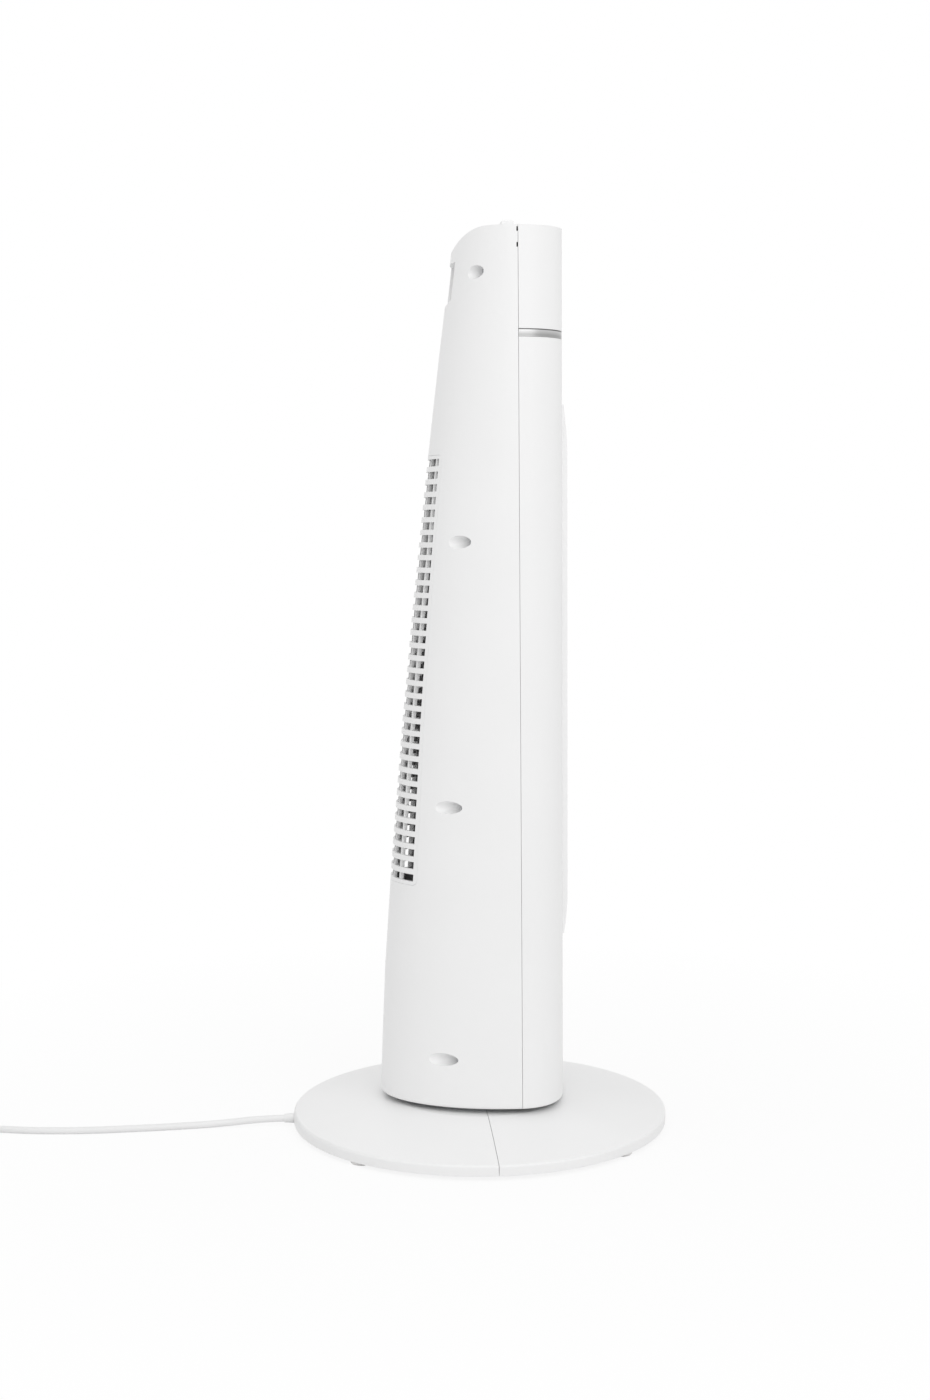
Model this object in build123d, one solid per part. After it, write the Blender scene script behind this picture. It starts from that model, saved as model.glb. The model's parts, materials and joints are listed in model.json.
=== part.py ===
from build123d import *
import os
from functools import cache
from math import acos, cos, hypot, pi, radians, sin, sqrt, tan

# Tower fan on a round base, in millimetres.
# The origin is on the floor under the middle of the base, +Z is up and the front faces -Y.

# Base
BASE_RADIUS = 153.0
BASE_WALL = 2.6
BASE_SEAM = 0.4  # gap between the front and rear halves
BASE_BOW = 1.0  # how far the sloping top bulges
FOOT_HEIGHT = 3.0
FOOT_RADIUS = 8.5
FOOT_CHAMFER = 0.8
FOOT_COUNT = 4
FOOT_INSET = 10.0  # from the rim to a foot's middle
FOOT_FLOOR = 2.0  # thickness of the base over a foot
RIM_TOP = 11.5
RIM_ROUND = 2.0
PLATEAU_RADIUS = 72.0
PLATEAU_TOP = 24.0
BASE_RIBS = 4  # in each half
RIB_WALL = 2.0
RIB_LIFT = 1.0  # from the base's lower edge to the ribs
SEAM_SCREW_INSET = 49.0  # from the rim to a screw across the seam
SEAM_SCREW_LIFT = 5.8  # from the base's lower edge to that screw
SEAM_SCREW_LENGTH = 10.0

# Screws
SCREW_RADIUS = 1.5
SCREW_LENGTH = 16.0
SHORT_SCREW = 8.0
HEAD_RADIUS = 3.4
SMALL_HEAD_RADIUS = 2.8
HEAD_HEIGHT = 2.2
SCREW_FIT = 0.05  # around a shank that cuts its own thread
SCREW_CLEARANCE = 0.25  # around a shank that passes through
SCREW_END_GAP = 0.5  # from a shank's end to the bottom of its hole
BOSS_RADIUS = 4.0

# Pivot of the tower on the base
POST_RADIUS = 21.0
POST_BORE = 13.5
POST_SCREW_ANGLES = (45.0, 135.0, 225.0, 315.0)
CAP_SCREW_ANGLES = (0.0, 180.0, 270.0)
FLANGE_RADIUS = 56.0
FLANGE_THICKNESS = 3.0
GLIDE_INNER = 24.0
GLIDE_OUTER = 50.0
GLIDE_THICKNESS = 1.5
SWIVEL_THICKNESS = 4.0
SLEEVE_HEIGHT = 6.5
SLEEVE_WALL = 5.0
GEAR_GAP = 0.5  # the swing gear over the swivel sleeve
CAP_THICKNESS = 2.5
KEY_WIDTH = 4.0
KEY_DEPTH = 1.6
KEY_FIT = 0.2

# Swing gear and pinion
MODULE = 1.5
GEAR_TEETH = 45
PINION_TEETH = 15
GEAR_THICKNESS = 7.5
GEAR_COLLAR = 6.0  # width of the gear's ring around the post
ADDENDUM = 0.9 * MODULE
DEDENDUM = 1.2 * MODULE
BACKLASH = 0.3
PRESSURE_ANGLE = radians(20)
GEAR_SECTOR = 112.0  # degrees of the swing gear that carry teeth
SWING_SHAFT_RADIUS = 3.5
SWING_MOTOR_RADIUS = 25.0
SWING_MOTOR_HEIGHT = 18.0
SWING_MOTOR_ROUND = 2.0
SWING_MOTOR_EAR = 29.0  # from the motor's middle to an ear's hole
SWING_MOTOR_GAP = 1.0  # over the cap's screws
EAR_THICKNESS = 2.0

# Tower covers
TOWER_LIFT = 4.0  # from the base's plateau to the covers' lower edge
TOWER_TOP = 720.0
HALF_WIDTH_BOTTOM = 70.0
HALF_WIDTH_TOP = 54.0
SEAM_Y = -27.7
SEAM_GAP = 0.3
FRONT_Y = -65.3
FRONT_FLAT = 27.0  # half the width of the flat front
REAR_BOTTOM_Y = 81.5
REAR_TAPER = 64.0
REAR_POWER = 1.4
CROWN_ROUND = 26.0  # of the top rear corner
CROWN_EASE = 0.2  # keeps the crown's cut just off the back below the corner
BOTTOM_ROUND = 2.0  # of the lower edge
BOTTOM_STEPS = 3
WALL = 2.6
LOFT_STEPS = 7
LEDGE = 4.0  # width of the ledges that carry the inner plates
PLATE_FIT = 0.4  # between an inner plate and the covers
PLATE_BOSS_RADIUS = 7.5
PLATE_BOSS_HEIGHT = 16.0
PLATE_SCREW_LENGTH = 12.0
PLATE_SCREW_INSET = 6.5  # from the wall to a screw's middle
FRONT_PLATE_SCREW_ANGLE = 50.0  # around the wall, from the seam
REAR_PLATE_SCREW_ANGLE = 30.0

# Cover screws in their scoops
SCREW_RISES = (38.5, 239.5, 448.0)  # over the covers' lower edge
SCREW_DROP = 35.0  # of the highest screw, below the top
SCREW_INSET = 13.2
SCOOP_RADIUS = 5.2
SCOOP_WALL = 2.0
SCOOP_DEPTH = 2.0  # from the scoop's front lip to the screw's seat
SEAT_THICKNESS = 2.4
POST_WALL = 2.0

# Intake grille in the rear cover
SLOT_PITCH = 10.0
SLOT_HEIGHT = 5.8
SLOT_FIRST = 209.0
SLOT_DROP = 30.0  # from the upper plate down to the highest slot
SLOT_HALF_BOTTOM = 35.6
SLOT_HALF_TOP = 26.1
SLOT_BORDER = 3.0
PANEL_ROUND = 4.0
PANEL_FIT = 0.15
INTAKE_RIBS = 4
INTAKE_RIB_PITCH = 13.0
INTAKE_RIB_WALL = 1.6
INTAKE_RIB_RECESS = 1.6
INTAKE_RIB_DEPTH = 2.4

# Carry handle recess
HANDLE_DROP = 24.0  # from the tower's top to the recess
HANDLE_HEIGHT = 14.0
HANDLE_RAMP = 19.0  # height of the ramp below the recess
HANDLE_HALF = 18.0
HANDLE_DEPTH = 16.0
HANDLE_ROUND = 4.0

# Notches in the seam beside the buttons
NOTCH_DROPS = (15.5, 3.5)
NOTCH_SIZE = 3.6
NOTCH_DEPTH = 1.2

# Trim band and control fascia
TRIM_DROP = 79.5  # from the tower's top to the band
TRIM_HEIGHT = 6.0
TRIM_GAP = 0.2
TRIM_RECESS = 0.2
TRIM_SEAT = 0.1  # between the band and its carrier
CARRIER_INSET = 2.9
CARRIER_WALL = 2.2
FASCIA_WALL = 2.4

# Front grille
GRILLE_BOTTOM = 160.0
GRILLE_DROP = 50.0  # from the trim band down to the grille
GRILLE_PROUD = 4.5
GRILLE_EDGE = 1.6  # how far the frame's ends stand proud
GRILLE_RAMP_BOTTOM = 20.0
GRILLE_RAMP_TOP = 28.0
GRILLE_RAMP_ROUND = 180.0
GRILLE_FRAME = 4.5
GRILLE_END = 20.0
GRILLE_NECK = 2.2  # how far the neck in the cover is smaller than the frame
WINDOW_ROUND = 5.0
BAR_PITCH = 10.0
BAR_THICKNESS = 2.2
BAR_RECESS = 0.8
BAR_SETBACK = 2.0  # from the bars to the frame's back
BAR_LAP = 1.0  # of bars and ribs into the frame
OUTLET_RIBS = 3
OUTLET_RIB_WALL = 1.6
OUTLET_RIB_DEPTH = 4.0

# Fan wheel
FAN_Y = -10.0
FAN_RADIUS = 32.5
FAN_BORE = 26.0
FAN_BLADES = 24
FAN_SECTIONS = 5
BLADE_THICKNESS = 1.1
BLADE_INSET = 0.6  # from the discs' edge to the blades
BLADE_LEAD = 13.0  # degrees from a blade's outer to its inner edge
BLADE_BOW = 1.6
DISC_THICKNESS = 2.5
RING_THICKNESS = 1.6
RING_LAP = 1.0
FAN_HUB_RADIUS = 10.0
FAN_HUB_LENGTH = 18.0
FAN_CLEARANCE = 5.0  # between the wheel's ends and the plates
SHAFT_RADIUS = 4.0
RUNNING_FIT = 0.05
PRESS_FIT = 0.02

# Air guides
DUCT_GAP = 3.0
DUCT_GROWTH = 0.4  # how far a guide draws away from the wheel along its arc
DUCT_WALL = 1.5
DUCT_FRONT_GAP = 0.4
OUTLET_STEP = 3.0  # from the grille's edge to a guide
VOLUTE_ANGLES = (40.0, 14.0, -12.0)
TONGUE_ANGLES = (164.0, 180.0, 198.0)

# Inner plates and main motor
MOTOR_PLATE_DROP = 10.0  # below the grille's lower end
UPPER_PLATE_DROP = 12.5  # below the grille's upper end
PLATE_THICKNESS = 3.0
PLATE_HOLE = 15.0
MOTOR_RADIUS = 37.0
BELL_WALL = 1.6
UPPER_BELL_HEIGHT = 24.0
LOWER_BELL_HEIGHT = 18.0
STATOR_HEIGHT = 22.0
ROTOR_RADIUS = 20.0
ROTOR_OVERHANG = 1.0
AIR_GAP = 0.5
WINDING_INNER = 23.0
WINDING_OUTER = 34.0
WINDING_HEIGHT = 10.0
BEARING_BOSS = 9.0
BEARING_LENGTH = 7.0
EAR_REACH = 48.0  # from the motor's axis to an ear's hole
EAR_RADIUS = 6.5
EAR_ANGLES = (90.0, 210.0, 330.0)
GROMMET_HEIGHT = 4.0
GROMMET_RADIUS = 6.0
MOTOR_BOSS_HEIGHT = 3.0
BUSH_RADIUS = 7.5
RUBBER_RADIUS = 11.0
BEARING_CUP_WALL = 3.0
BEARING_HEIGHT = 8.0
JOURNAL_LENGTH = 15.0
JOURNAL_CLEARANCE = 1.5

# Push buttons and switch block
BUTTON_NAMES = ("button_off", "button_low", "button_medium", "button_high", "button_swing")
BUTTON_PITCH = 13.5
BUTTON_WIDTH = 12.7
BUTTON_DEPTH = 9.6
BUTTON_SETBACK = 0.8  # from the seam to the buttons
BUTTON_PROUD = 6.5
BUTTON_TRAVEL = 3.0
BUTTON_FIT = 0.4
BUTTON_ROUND = 1.2
BUTTON_SKIRT = 4.6  # how far a button reaches below the top face
STEM_WIDTH = 4.0
STEM_LENGTH = 11.0
STEM_END_GAP = 1.0
SWITCH_HALF = 34.5
SWITCH_DEPTH = 14.5
SWITCH_HEIGHT = 17.0
SWITCH_GAP = 0.4  # left under a pressed button
SWITCH_EAR_X = 20.0
SWITCH_EAR_REACH = 8.0
SWITCH_EAR_THICKNESS = 3.0

# Power cord, coil and plug
CORD_DIAMETER = 5.6
CORD_HEIGHT = 5.6  # of the cord's middle where it leaves the base
RELIEF_RADIUS = 4.0
RELIEF_TIP = 3.5
RELIEF_COLLAR = 1.0  # how far the straight part of the boot stands out
RELIEF_FLANGE = 13.0
RELIEF_FLANGE_THICKNESS = 2.0
RELIEF_FLANGE_GAP = 1.0  # to the base's rim
RELIEF_FLANGE_EASE = 0.3  # under the base's skin
RELIEF_INSIDE = 15.0
RELIEF_OUTSIDE = 8.0
FLOOR_LINE = 2.9  # height of a cord that lies on the floor
COIL_CENTRE = (-40.0, 442.0)
COIL_INNER = 23.5
COIL_PITCH = 6.3
COIL_RISE = 6.3
COIL_TURNS = 6.25
COIL_REVERSAL = 3.25
COIL_BLEND = 0.25
COIL_LOW = 4.0
COIL_TAIL = 50.0
TIE_WIDTH = 8.0
TIE_WALL = 0.8
TIE_FIT = 0.4
TIE_ROUND = 2.0
PLUG_LENGTH = 38.0
PLUG_WIDTH = 35.0
PLUG_LIFT = 0.2  # of the plug's underside off the floor
PLUG_NECK = 14.0
PLUG_NECK_WIDTH = 19.0
PLUG_NECK_THICKNESS = 16.0
PLUG_COLLAR = 1.0
PLUG_ROUND = 4.0
PIN_RADIUS = 2.4
PIN_LENGTH = 19.0
PIN_SPACING = 19.0
PIN_ROOT = 8.0
PIN_ROUND = 1.2

# Heights and places that follow from the sizes above
TOWER_BOTTOM = PLATEAU_TOP + TOWER_LIFT
TOWER_HEIGHT = TOWER_TOP - TOWER_BOTTOM
GLIDE_BOTTOM = PLATEAU_TOP + FLANGE_THICKNESS
SWIVEL_BOTTOM = GLIDE_BOTTOM + GLIDE_THICKNESS
SWIVEL_TOP = SWIVEL_BOTTOM + SWIVEL_THICKNESS
GEAR_BOTTOM = SWIVEL_TOP + SLEEVE_HEIGHT + GEAR_GAP
GEAR_TOP = GEAR_BOTTOM + GEAR_THICKNESS
CAP_TOP = GEAR_TOP + CAP_THICKNESS
SWING_MOTOR_Y = MODULE * (GEAR_TEETH + PINION_TEETH) / 2
SWING_MOTOR_BOTTOM = CAP_TOP + HEAD_HEIGHT + SWING_MOTOR_GAP
POST_SCREW_RING = (POST_RADIUS + POST_BORE) / 2
SEAM_SCREW_X = BASE_RADIUS - SEAM_SCREW_INSET
SEAM_SCREW_Z = FOOT_HEIGHT + SEAM_SCREW_LIFT
TRIM_TOP = TOWER_TOP - TRIM_DROP
TRIM_BOTTOM = TRIM_TOP - TRIM_HEIGHT
GRILLE_TOP = TRIM_BOTTOM - GRILLE_DROP
GRILLE_HALF = FRONT_FLAT
OUTLET_HALF = GRILLE_HALF - OUTLET_STEP
MOTOR_PLATE_BOTTOM = GRILLE_BOTTOM - MOTOR_PLATE_DROP
UPPER_PLATE_BOTTOM = GRILLE_TOP - UPPER_PLATE_DROP
UPPER_PLATE_TOP = UPPER_PLATE_BOTTOM + PLATE_THICKNESS
LEDGE_HEIGHTS = (MOTOR_PLATE_BOTTOM, UPPER_PLATE_BOTTOM)
DUCT_BOTTOM = MOTOR_PLATE_BOTTOM + PLATE_THICKNESS
FAN_BOTTOM = DUCT_BOTTOM + FAN_CLEARANCE
FAN_TOP = UPPER_PLATE_BOTTOM - FAN_CLEARANCE
EAR_TOP = MOTOR_PLATE_BOTTOM - GROMMET_HEIGHT
UPPER_BELL_BOTTOM = EAR_TOP - UPPER_BELL_HEIGHT
STATOR_BOTTOM = UPPER_BELL_BOTTOM - STATOR_HEIGHT
LOWER_BELL_BOTTOM = STATOR_BOTTOM - LOWER_BELL_HEIGHT
SCREW_HEIGHTS = [TOWER_BOTTOM + rise for rise in SCREW_RISES] + [TOWER_TOP - SCREW_DROP]
SLOT_ROWS = int((UPPER_PLATE_BOTTOM - SLOT_DROP - SLOT_FIRST) / SLOT_PITCH) + 1
SLOT_LAST = SLOT_FIRST + SLOT_PITCH * (SLOT_ROWS - 1)
HANDLE_TOP = TOWER_TOP - HANDLE_DROP
HANDLE_SHELF = HANDLE_TOP - HANDLE_HEIGHT
HANDLE_SILL = HANDLE_SHELF - HANDLE_RAMP
BUTTON_Y = SEAM_Y + BUTTON_SETBACK + BUTTON_DEPTH / 2
BUTTON_BOTTOM = TOWER_TOP - BUTTON_SKIRT
SWITCH_TOP = BUTTON_BOTTOM - BUTTON_TRAVEL - SWITCH_GAP
SWITCH_BOSS_Y = BUTTON_Y + SWITCH_DEPTH / 2 + SWITCH_EAR_REACH / 2
OUT = 40.0  # how far a cutting body reaches past what it cuts
BIG = HALF_WIDTH_BOTTOM + OUT


# Small helpers
def rod_z(x, y, low, high, radius):
    return Pos(x, y, (low + high) / 2) * Cylinder(radius, high - low)


def rod_y(x, z, front, back, radius):
    return Pos(x, (front + back) / 2, z) * Rot(90, 0, 0) * Cylinder(radius, back - front)


def tube_z(x, y, low, high, inner, outer):
    return rod_z(x, y, low, high, outer) - rod_z(x, y, low - 1, high + 1, inner)


def block(x0, x1, y0, y1, z0, z1):
    return Pos((x0 + x1) / 2, (y0 + y1) / 2, (z0 + z1) / 2) * Box(x1 - x0, y1 - y0, z1 - z0)


def side_prism(points, half, rounds=()):
    """A side view in Y and Z, rounded at the listed corners, drawn out across X."""
    face = make_face(Polyline(*points, close=True))
    for index, radius in rounds:
        corner = face.vertices().sort_by_distance((*points[index], 0))[0]
        face = fillet(corner, radius)
    return extrude(Plane.YZ.offset(-half) * face, 2 * half)


def back_prism(points, front, back, radius):
    """A back view in X and Z with rounded corners, drawn out along Y."""
    face = make_face(Polyline(*points, close=True))
    face = fillet(face.vertices(), radius)
    return extrude(Plane.XZ.offset(-back) * face, back - front)


def screw(place, length=SCREW_LENGTH, head=HEAD_RADIUS):
    """A screw whose seat is at the place, with its shank along the place's -Z."""
    shank = Pos(0, 0, -length / 2) * Cylinder(SCREW_RADIUS, length)
    top = Pos(0, 0, HEAD_HEIGHT / 2) * Cylinder(head, HEAD_HEIGHT)
    return place * (shank + top)


def solids_of(shapes):
    """One node that holds several separate solids."""
    return Compound(children=[solid for shape in shapes for solid in shape.solids()])


# Form of the tower
def half_width(z):
    share = (z - TOWER_BOTTOM) / TOWER_HEIGHT
    return HALF_WIDTH_BOTTOM + (HALF_WIDTH_TOP - HALF_WIDTH_BOTTOM) * share


def rear_reach(z):
    share = max(z - TOWER_BOTTOM, 0) / TOWER_HEIGHT
    return REAR_BOTTOM_Y - REAR_TAPER * share**REAR_POWER


def bottom_inset(z):
    """How far the covers draw in towards their rounded lower edge."""
    below = min(max(TOWER_BOTTOM + BOTTOM_ROUND - z, 0), BOTTOM_ROUND)
    return BOTTOM_ROUND - sqrt(BOTTOM_ROUND**2 - below**2)


def bottom_heights():
    steps = [pi / 2 * i / BOTTOM_STEPS for i in range(BOTTOM_STEPS + 1)]
    return [TOWER_BOTTOM + BOTTOM_ROUND * (1 - cos(step)) for step in steps]


def rear_face(z, inset):
    inset += bottom_inset(z)
    half = half_width(z) - inset
    depth = rear_reach(z) - SEAM_Y - inset
    arc = EllipticalCenterArc((0, SEAM_Y), half, depth, 0, arc_size=180)
    return Pos(0, 0, z) * make_face([arc, Line(arc @ 1, arc @ 0)])


def front_face(z, inset):
    inset += bottom_inset(z)
    depth = SEAM_Y - FRONT_Y - inset
    corner = half_width(z) - FRONT_FLAT - inset
    left = EllipticalCenterArc((-FRONT_FLAT, SEAM_Y), corner, depth, 180, arc_size=90)
    right = EllipticalCenterArc((FRONT_FLAT, SEAM_Y), corner, depth, 270, arc_size=90)
    outline = [left, Line(left @ 1, right @ 0), right, Line(right @ 1, left @ 0)]
    return Pos(0, 0, z) * make_face(outline)


def crown(inset, low):
    """Everything in front of the line of the back and below the rounded top rear corner."""
    knee = TOWER_TOP - CROWN_ROUND
    share = (knee - TOWER_BOTTOM) / TOWER_HEIGHT
    slope = -REAR_TAPER * REAR_POWER * share ** (REAR_POWER - 1) / TOWER_HEIGHT
    top = TOWER_TOP - inset

    def line(z):
        return rear_reach(knee) + slope * (z - knee) - inset + CROWN_EASE

    points = [(SEAM_Y - OUT, low), (line(low) + OUT, low), (line(top), top), (SEAM_Y - OUT, top)]
    return side_prism(points, BIG, [(2, CROWN_ROUND - inset)])


@cache
def rear_body(inset):
    """The tower behind its seam, drawn in by an inset on every side but the bottom."""
    heights = bottom_heights()
    low, top = heights[-1], TOWER_TOP - inset
    heights += [low + (top - low) * (i + 1) / LOFT_STEPS for i in range(LOFT_STEPS)]
    return loft([rear_face(z, inset) for z in heights], ruled=True) & crown(inset, TOWER_BOTTOM - 1)


def front_body(inset, low, high):
    """The tower before its seam between two heights, drawn in by an inset."""
    edge = [z for z in bottom_heights() if low < z < high]
    return loft([front_face(z, inset) for z in (low, *edge, high)], ruled=True)


def inner_plate(low, thickness, inset=WALL + PLATE_FIT):
    """A plate that fills the tower, between both covers."""
    high = low + thickness
    outline = rear_face(high, inset) + front_face(high, inset)
    return extrude(Pos(0, 0, low - high) * outline, thickness)


def screw_places():
    """X, height and seat of each cover screw."""
    places = []
    for z in SCREW_HEIGHTS:
        half = half_width(z)
        x = half - SCREW_INSET
        depth = rear_reach(z) - SEAM_Y
        lip = SEAM_Y + depth * sqrt(1 - ((x + SCOOP_RADIUS) / half) ** 2)
        places += [(x, z, lip - SCOOP_DEPTH), (-x, z, lip - SCOOP_DEPTH)]
    return places


# Corners where the swivel plate is screwed to the covers
def inside_wall(centre_x, across, along, angle, step):
    """A point that lies a step inside an elliptical wall, at an angle of that ellipse."""
    x, y = across * cos(radians(angle)), along * sin(radians(angle))
    slope = Vector(x / across**2, y / along**2, 0).normalized()
    return centre_x + x - step * slope.X, SEAM_Y + y - step * slope.Y


def plate_screw_places():
    z = SWIVEL_TOP + PLATE_BOSS_HEIGHT
    across = half_width(z) - WALL
    ahead = SEAM_Y - FRONT_Y - WALL
    behind = rear_reach(z) - SEAM_Y - WALL
    step = PLATE_SCREW_INSET
    front = inside_wall(FRONT_FLAT, across - FRONT_FLAT, ahead, -FRONT_PLATE_SCREW_ANGLE, step)
    rear = inside_wall(0, across, behind, REAR_PLATE_SCREW_ANGLE, step)
    return [front, (-front[0], front[1])], [rear, (-rear[0], rear[1])]


def plate_bosses(places):
    """Bosses on the swivel plate's top and the holes for its screws."""
    top = SWIVEL_TOP + PLATE_BOSS_HEIGHT
    hole_top = SWIVEL_BOTTOM + HEAD_HEIGHT + PLATE_SCREW_LENGTH + SCREW_END_GAP
    bosses = [rod_z(x, y, SWIVEL_TOP, top, PLATE_BOSS_RADIUS) for x, y in places]
    holes = [rod_z(x, y, 0, hole_top, SCREW_RADIUS + SCREW_FIT) for x, y in places]
    return bosses, holes


# Base
def base_profile():
    """Half section of the base's skin, from the hub to the rim."""
    rim = BASE_RADIUS
    crest = (PLATEAU_RADIUS, PLATEAU_TOP)
    shoulder = (rim - RIM_ROUND, RIM_TOP)
    bow = ((crest[0] + shoulder[0]) / 2, (crest[1] + shoulder[1]) / 2 + BASE_BOW)
    outside = [
        Line((POST_BORE, PLATEAU_TOP), crest),
        ThreePointArc(crest, bow, shoulder),
        ThreePointArc(
            shoulder,
            (rim - RIM_ROUND * (1 - sin(pi / 4)), RIM_TOP - RIM_ROUND * (1 - cos(pi / 4))),
            (rim, RIM_TOP - RIM_ROUND),
        ),
        Line((rim, RIM_TOP - RIM_ROUND), (rim, FOOT_HEIGHT)),
    ]
    under = [(rim, FOOT_HEIGHT), *base_underside(), (POST_BORE, PLATEAU_TOP)]
    return make_face([*outside, Polyline(*under)])


def base_underside():
    return [
        (BASE_RADIUS - BASE_WALL, FOOT_HEIGHT),
        (BASE_RADIUS - BASE_WALL, RIM_TOP - BASE_WALL),
        (PLATEAU_RADIUS, PLATEAU_TOP - BASE_WALL),
        (POST_BORE, PLATEAU_TOP - BASE_WALL),
    ]


def base_hollow():
    """The space under the skin, as deep as the ribs reach."""
    lowest = FOOT_HEIGHT + RIB_LIFT
    wall, shoulder, crest, hub = base_underside()
    points = [(hub[0], lowest), (wall[0], lowest), shoulder, crest, hub]
    return revolve(Plane.XZ * make_face(Polyline(*points, close=True)), Axis.Z)


def foot_places():
    step = 360 / FOOT_COUNT
    reach = BASE_RADIUS - FOOT_INSET
    angles = [radians(step * (i + 0.5)) for i in range(FOOT_COUNT)]
    return [(reach * cos(a), reach * sin(a)) for a in angles]


def ring_place(angle, radius, x=0.0, y=0.0):
    return x + radius * cos(radians(angle)), y + radius * sin(radians(angle))


def base_half(side):
    """side is -1 for the front half and 1 for the rear half."""
    skin = revolve(Plane.XZ * base_profile(), Axis.Z)
    hollow = base_hollow()
    big = BASE_RADIUS + OUT
    near = side * BASE_SEAM / 2
    ribs = block(-big, big, *sorted((near, near + side * RIB_WALL)), 0, PLATEAU_TOP)
    for i in range(BASE_RIBS):
        angle = 180 * (i + 0.5) / BASE_RIBS
        ribs += Rot(0, 0, side * angle) * block(0, big, -RIB_WALL / 2, RIB_WALL / 2, 0, PLATEAU_TOP)
    ribs -= rod_z(0, 0, -1, PLATEAU_TOP, POST_RADIUS + HEAD_RADIUS)
    body = skin + (hollow & ribs)
    for x, y in foot_places():
        boss = rod_z(x, y, FOOT_HEIGHT, PLATEAU_TOP, FOOT_RADIUS)
        body += boss & (hollow + skin + rod_z(x, y, FOOT_HEIGHT, FOOT_HEIGHT + FOOT_FLOOR, FOOT_RADIUS))
    for angle in POST_SCREW_ANGLES:
        x, y = ring_place(angle, POST_SCREW_RING)
        body -= rod_z(x, y, 0, PLATEAU_TOP + 1, SCREW_RADIUS + SCREW_CLEARANCE)
    for x in (-SEAM_SCREW_X, SEAM_SCREW_X):
        body -= rod_y(x, SEAM_SCREW_Z, -OUT, OUT, SCREW_RADIUS + SCREW_FIT)
    if side > 0:
        notch = RELIEF_RADIUS + SCREW_FIT
        body -= rod_y(0, CORD_HEIGHT, BASE_RADIUS - OUT, BASE_RADIUS + OUT, notch)
        body -= block(-notch, notch, BASE_RADIUS - OUT, BASE_RADIUS + OUT, 0, CORD_HEIGHT)
    keep = block(-big, big, *sorted((near, side * big)), -1, PLATEAU_TOP + 1)
    return body & keep


def base_feet():
    pads = []
    for x, y in foot_places():
        pad = rod_z(x, y, 0, FOOT_HEIGHT, FOOT_RADIUS)
        pads.append(chamfer(pad.edges().group_by(Axis.Z)[0], FOOT_CHAMFER))
    return solids_of(pads)


def base_screws():
    screws = []
    for angle in POST_SCREW_ANGLES:
        x, y = ring_place(angle, POST_SCREW_RING)
        place = Pos(x, y, PLATEAU_TOP - BASE_WALL) * Rot(180, 0, 0)
        screws.append(screw(place, SCREW_LENGTH, SMALL_HEAD_RADIUS))
    for x in (-SEAM_SCREW_X, SEAM_SCREW_X):
        place = Pos(x, BASE_SEAM / 2 + RIB_WALL, SEAM_SCREW_Z) * Rot(-90, 0, 0)
        screws.append(screw(place, SEAM_SCREW_LENGTH))
    return solids_of(screws)


# Pivot
def pivot_post():
    post = tube_z(0, 0, PLATEAU_TOP, GEAR_TOP, POST_BORE, POST_RADIUS)
    post += tube_z(0, 0, PLATEAU_TOP, GLIDE_BOTTOM, POST_BORE, FLANGE_RADIUS)
    hole = SCREW_RADIUS + SCREW_FIT
    hole_top = PLATEAU_TOP - BASE_WALL + SCREW_LENGTH + SCREW_END_GAP
    for angle in POST_SCREW_ANGLES:
        x, y = ring_place(angle, POST_SCREW_RING)
        post -= rod_z(x, y, 0, hole_top, hole)
    for angle in CAP_SCREW_ANGLES:
        x, y = ring_place(angle, POST_SCREW_RING)
        post -= rod_z(x, y, CAP_TOP - SHORT_SCREW - SCREW_END_GAP, CAP_TOP, hole)
    half = KEY_WIDTH / 2
    for angle in (0, 180):
        slot = block(POST_RADIUS - KEY_DEPTH, POST_RADIUS + 1, -half, half, GEAR_BOTTOM, GEAR_TOP)
        post -= Rot(0, 0, angle) * slot
    return post


def glide_ring():
    return tube_z(0, 0, GLIDE_BOTTOM, SWIVEL_BOTTOM, GLIDE_INNER, GLIDE_OUTER)


def tooth_half_angle(teeth, radius):
    """Half the angle that a tooth takes at a radius, on involute flanks."""
    pitch = MODULE * teeth / 2
    base = pitch * cos(PRESSURE_ANGLE)

    def involute(r):
        pressure = acos(min(base / r, 1))
        return tan(pressure) - pressure

    at_pitch = pi / (2 * teeth) - BACKLASH / (2 * pitch)
    return at_pitch + involute(pitch) - involute(max(radius, base))


def gear_face(teeth, hub, angles):
    """A toothed disc, with teeth at the given angles in degrees."""
    pitch = MODULE * teeth / 2
    root = pitch - DEDENDUM
    tip = pitch + ADDENDUM
    radii = (root, (root + tip) / 2, tip)

    def flank(side):
        turns = [side * tooth_half_angle(teeth, r) for r in radii]
        return [Vector(r * cos(turn), r * sin(turn), 0) for r, turn in zip(radii, turns)]

    left, right = flank(-1), flank(1)
    inner = root - MODULE
    foot = [Vector(inner, left[0].Y, 0), Vector(inner, right[0].Y, 0)]
    outline = [
        Polyline(right[0], foot[1], foot[0], left[0]),
        ThreePointArc(*left),
        Line(left[2], right[2]),
        ThreePointArc(*right),
    ]
    tooth = make_face(outline)
    return hub + [Rot(0, 0, angle) * tooth for angle in angles]


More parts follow.
